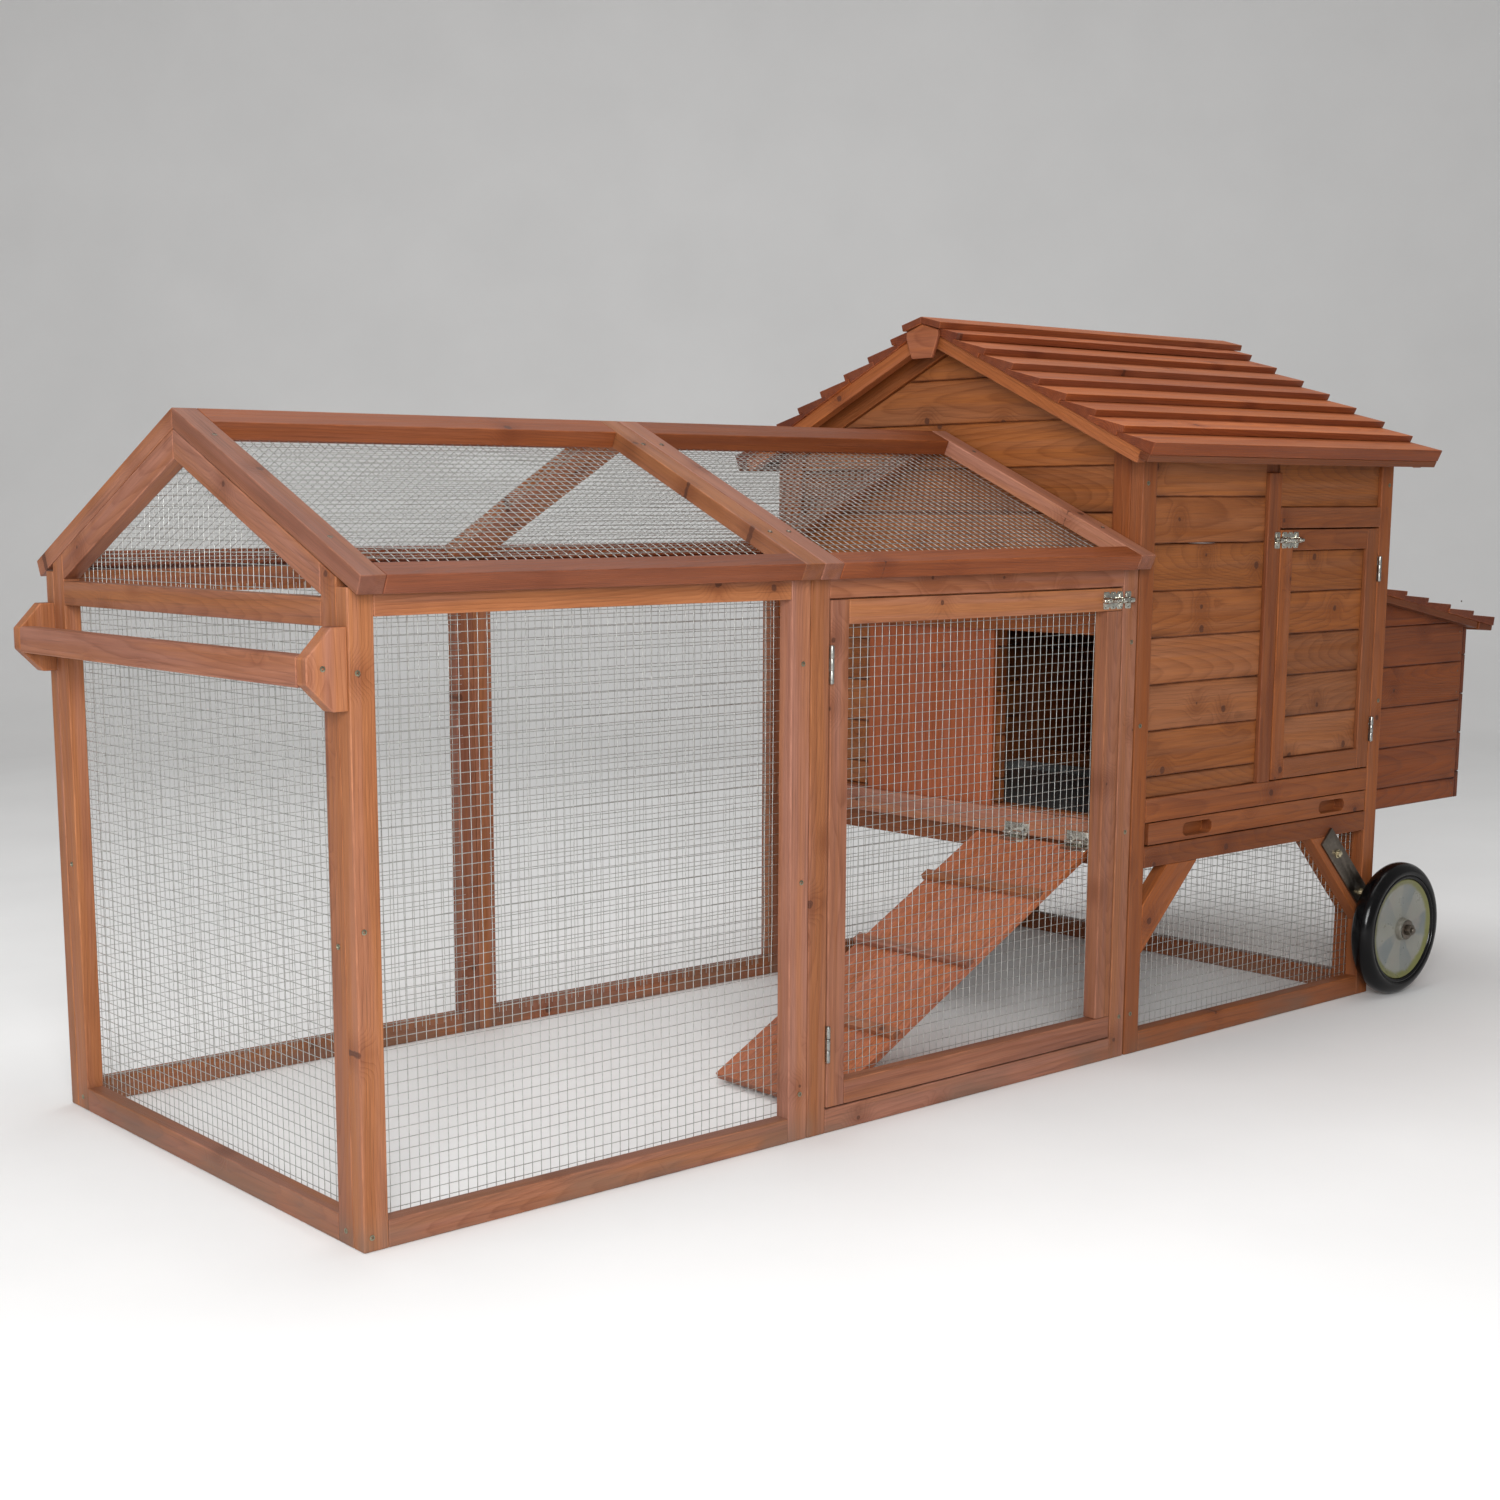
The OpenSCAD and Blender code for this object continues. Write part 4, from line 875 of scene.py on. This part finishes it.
def leaf_screws(bm, pin, pin_length):
    """Where the screws of a leaf that lies on the surface go, and which way they face."""
    flats = sorted(bm.faces, key=lambda f: -f.calc_area())[:2]
    face = max(flats, key=lambda f: f.normal.dot(pin - f.calc_center_median()))
    out = face.normal.copy()
    corners = [v.co for v in face.verts]
    middle = sum(corners, Vector()) / len(corners)
    middle.y = (min(p.y for p in corners) + max(p.y for p in corners)) / 2
    middle = middle - out * (middle - corners[0]).dot(out)
    return [middle + Y * pin_length * 0.3 * k for k in (-1, 1)], out


def hinges():
    """Leaves and flaps. Only those of the hinges whose pin lies along Y show their screws."""
    pins = [(centre_of(bm), size_of(bm)) for bm in islands("hinge_pins")]
    for node in ("hinge_leaves", "run_door_hinge_flaps", "house_door_hinge_flaps",
                 "ramp_hinge_flaps", "lid_hinge_flaps"):
        piece = piece_for(node, "metal_")
        for bm in islands(node):
            pin, reach = min(pins, key=lambda p: (p[0] - centre_of(bm)).length)
            places, out = leaf_screws(bm, pin, reach.y) if reach.y > reach.z else ([], None)
            bevel_sharp(bm, 0.25 * MM, least=40)
            piece.add(bm, zinc if places else hinge_steel, smooth=True)
            for k, at in enumerate(places):
                screw(piece, at, out, 2.3 * MM, screw_steel, at.y * 700 + k)
        piece.build()
    hard("hinge_pins", hinge_steel)


def bolts_and_nuts():
    """The arms' bolts are brassy, and the nuts and washers on the axles are dull."""
    piece = piece_for("bolts_and_nuts", "metal_")
    low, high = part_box("near_tyre")
    for bm in islands("bolts_and_nuts"):
        away = centre_of(bm) - (low + high) / 2
        bevel_sharp(bm, 0.4 * MM, least=40)
        on_axle = math.hypot(away.x, away.z) < 0.03
        piece.add(bm, arm_steel if on_axle else brassy, smooth=True)
    piece.build()


def nest_nails():
    """Two domed nails at the outer end of each long plank of the nest box."""
    piece = Piece("nest_nails", "coop", slot="screw_steel")
    dome = in_mm([(0, -0.6), (1.5, -0.6), (1.5, 0.1), (1.1, 0.4), (0, 0.5)])
    for bm in islands("nest_box_planks"):
        middle, size = centre_of(bm), size_of(bm)
        bm.free()
        if size.x > 4 * size.y:
            out = Y if middle.y > 0 else -Y
            plank_end = middle + out * size.y / 2 + X * (size.x / 2 - 11 * MM)
            for k in (-0.28, 0.26):
                nail = lathe(dome, plank_end + Z * size.z * k, out, 12)
                piece.add(nail, screw_steel, smooth=True)
    piece.build()


def threaded_axles():
    """Bolts with a round head inside the coop and a threaded end outside the hub."""
    head_r, head_h, thread_l, pitch, depth = 9 * MM, 6 * MM, 22 * MM, 1.1 * MM, 0.7 * MM
    piece = Piece("threaded_axles", "coop", "axle_bolts", slot="zinc_steel")
    for bm in islands("axle_bolts"):
        middle = centre_of(bm)
        out = -1 if middle.y < 0 else 1
        ends = sorted((v.co.y for v in bm.verts), key=abs)
        inside, tip = ends[0], ends[-1]
        length = abs(tip - inside)
        end_ring = [v.co for v in bm.verts if abs(v.co.y - tip) < 1e-5]
        radius = max(math.hypot(p.x - middle.x, p.z - middle.z) for p in end_ring)
        bm.free()
        profile = [(0, 0), (head_r - 1.2 * MM, 0), (head_r, 0.8 * MM), (head_r, head_h - 0.8 * MM),
                   (head_r - 1.2 * MM, head_h), (radius, head_h), (radius, length - thread_l)]
        at = length - thread_l
        while at < length - 1.6 * MM:
            profile += [(radius, at + 0.35 * MM), (radius - depth, at + 0.8 * MM)]
            at += pitch
        profile += [(radius - 0.9 * MM, length - 0.5 * MM), (0, length)]
        origin = Vector((middle.x, inside, middle.z))
        piece.add(lathe(profile, origin, Y * out, 28), arm_steel, smooth=True)
    piece.build(sharp=50)


def screw_heads():
    """The frame's screws. Those in the roof are dark, as painted shade in their holes, and those in
    the walls are zinc.
    """
    piece = Piece("screw_heads", "coop", "frame_screws", slot="screw_steel")
    turns = random.Random(5)
    for bm in islands("frame_screws"):
        at, out = centre_of(bm), broadest_face(bm).normal.copy()
        if out.z < -0.1 or (abs(out.z) < 0.1 and at.dot(out) < 0):
            out = -out
        thick = max(abs((v.co - at).dot(out)) for v in bm.verts)
        bm.free()
        # Painted shade: screws that face up get the dark steel, which stands for the shade in their
        # holes
        material = screw_steel if out.z > 0.1 else dull_zinc
        screw(piece, at - out * thick, out, 3.3 * MM, material, turns.uniform(0, 3))
    piece.build()


bolt_keepers([latch("run_door", 1), latch("house_door", -1)])
hinges()
hard("wheel_arms", arm_steel, 0.6 * MM)
bolts_and_nuts()
hard("tray_pan", pan_steel)
nest_nails()
threaded_axles()
screw_heads()


# ---------- Wheels ----------

def wheel(side, out):
    """A glossy tyre with a stepped bead at its inner edge, and a dished hub with a boss."""
    low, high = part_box(side + "_tyre")
    axle = (low + high) / 2
    half = (high.y - low.y) / 2
    rim = (high.x - low.x) / 2
    depth = 26.5 * MM
    # Across and down from the tread, as shares of the half width and of the depth
    tread = [math.radians(7.5 * k) for k in range(15)]
    outer = [(math.sin(t), 0.566 * (1 - math.cos(t))) for t in tread]
    outer += [(0.88, 0.745), (0.905, 0.785), (0.94, 0.82), (0.945, 0.87), (0.90, 0.94), (0.70, 1.0)]
    ring = [(rim - depth * down, half * across) for across, down in outer]
    ring += [(r, -h) for r, h in ring[:0:-1]]
    tyre = Piece("tyre_" + side, side + "_wheel", side + "_tyre", slot="tyre_rubber")
    tyre.add(lathe(ring, axle, out, 128, closed=True), tyre_rubber, smooth=True)
    tyre.build(sharp=60)

    edge = (rim - depth) / MM - 0.2
    face = in_mm([(5.4, 20.5), (16.5, 20.5), (17.5, 19.5), (18, 12.5), (22, 10.8), (45, 9.8),
                  (66, 10.6), (edge - 6, 11.8), (edge - 3.5, 14.2), (edge - 1, 14.8), (edge, 14)])
    back = [(r, -h) for r, h in face[::-1]]
    hub = Piece("hub_" + side, side + "_wheel", side + "_wheel_hub", slot="hub_plastic")
    plastic = milky("hub_plastic_" + side, axle)
    hub.add(lathe(face + back, axle, out, 128, closed=True), plastic, smooth=True)
    hub.build(sharp=50)


wheel("near", -Y)
wheel("far", Y)


# ---------- Stage ----------

# The camera's turns are those of the photo, and its place is measured from the run's near corner
YAW, PITCH, ROLL = (math.radians(angle) for angle in (-39.37, 80.7, -0.13))
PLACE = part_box("near_run_frames")[0] + Vector((-1.0992, -1.8488, 0.7878))


def backdrop():
    """A pale floor that sweeps up into a wall behind the object."""
    reach, front, wall_at, bend, wall_top = 14.0, -14.0, 3.6, 2.2, 9.0
    facing = Vector((-math.sin(YAW), math.cos(YAW), 0))
    sideways = Vector((facing.y, -facing.x, 0))
    arc = [math.pi / 2 * k / 16 for k in range(1, 17)]
    profile = [(front, 0.0), (wall_at, 0.0)]
    profile += [(wall_at + bend * math.sin(t), bend * (1 - math.cos(t))) for t in arc]
    profile.append((wall_at + bend, wall_top))
    bm = bmesh.new()
    rows = []
    for across in (-reach, reach):
        rows.append([bm.verts.new(facing * d + sideways * across + Z * (h - 0.4 * MM))
                     for d, h in profile])
    for k in range(len(profile) - 1):
        bm.faces.new((rows[0][k], rows[1][k], rows[1][k + 1], rows[0][k + 1]))
    mesh = bpy.data.meshes.new("backdrop")
    bm.to_mesh(mesh)
    bm.free()
    for polygon in mesh.polygons:
        polygon.use_smooth = True
    g = Graph("pale_floor")
    shade = g.span(g.noise(g.place(), 2.2, detail=4.0), 0.3, 0.7, 0.84, 0.88)
    mesh.materials.append(g.finish(g.noise(g.place(), 160.0), 0.0001, Base_Color=g.grey(shade),
                                   Roughness=0.75, Specular_IOR_Level=0.2))
    obj = bpy.data.objects.new("backdrop", mesh)
    bpy.context.scene.collection.objects.link(obj)


def area_light(name, place, aim, size, power):
    light = bpy.data.lights.new(name, "AREA")
    light.shape = "RECTANGLE"
    light.size, light.size_y = size
    light.energy = power
    obj = bpy.data.objects.new(name, light)
    obj.location = place
    obj.rotation_euler = (Vector(aim) - Vector(place)).to_track_quat("-Z", "Y").to_euler()
    bpy.context.scene.collection.objects.link(obj)


def studio_world():
    """Soft, slightly warm light from all around."""
    world = bpy.data.worlds.new("studio")
    world.use_nodes = True
    background = world.node_tree.nodes["Background"]
    background.inputs["Color"].default_value = (1.0, 0.985, 0.965, 1)
    background.inputs["Strength"].default_value = 0.32
    bpy.context.scene.world = world


def photo_camera():
    camera = bpy.data.cameras.new("camera")
    camera.sensor_width = 36
    camera.lens = 49.92
    camera.shift_x, camera.shift_y = 0.0564, 0.0655
    view = bpy.data.objects.new("camera", camera)
    view.location = PLACE
    turned = Matrix.Rotation(YAW, 3, "Z") @ Matrix.Rotation(PITCH, 3, "X")
    view.rotation_euler = (turned @ Matrix.Rotation(ROLL, 3, "Z")).to_euler()
    bpy.context.scene.collection.objects.link(view)
    bpy.context.scene.camera = view


backdrop()
# Each light has its place, the point it looks at, its width and height, and its power
area_light("key", (-2.7, -2.8, 1.9), (-0.2, 0, 0.4), (1.4, 1.2), 88)
area_light("flash", (-2.45, -2.6, 1.0), (0.0, 0, 0.45), (0.36, 0.3), 26)
area_light("top", (0.0, 0.4, 4.2), (0.1, 0, 0), (3.5, 3.0), 85)
area_light("fill", (-4.6, 0.8, 1.6), (-0.4, 0, 0.4), (2.0, 2.0), 25)
studio_world()
photo_camera()
bpy.context.scene.view_settings.view_transform = "Standard"
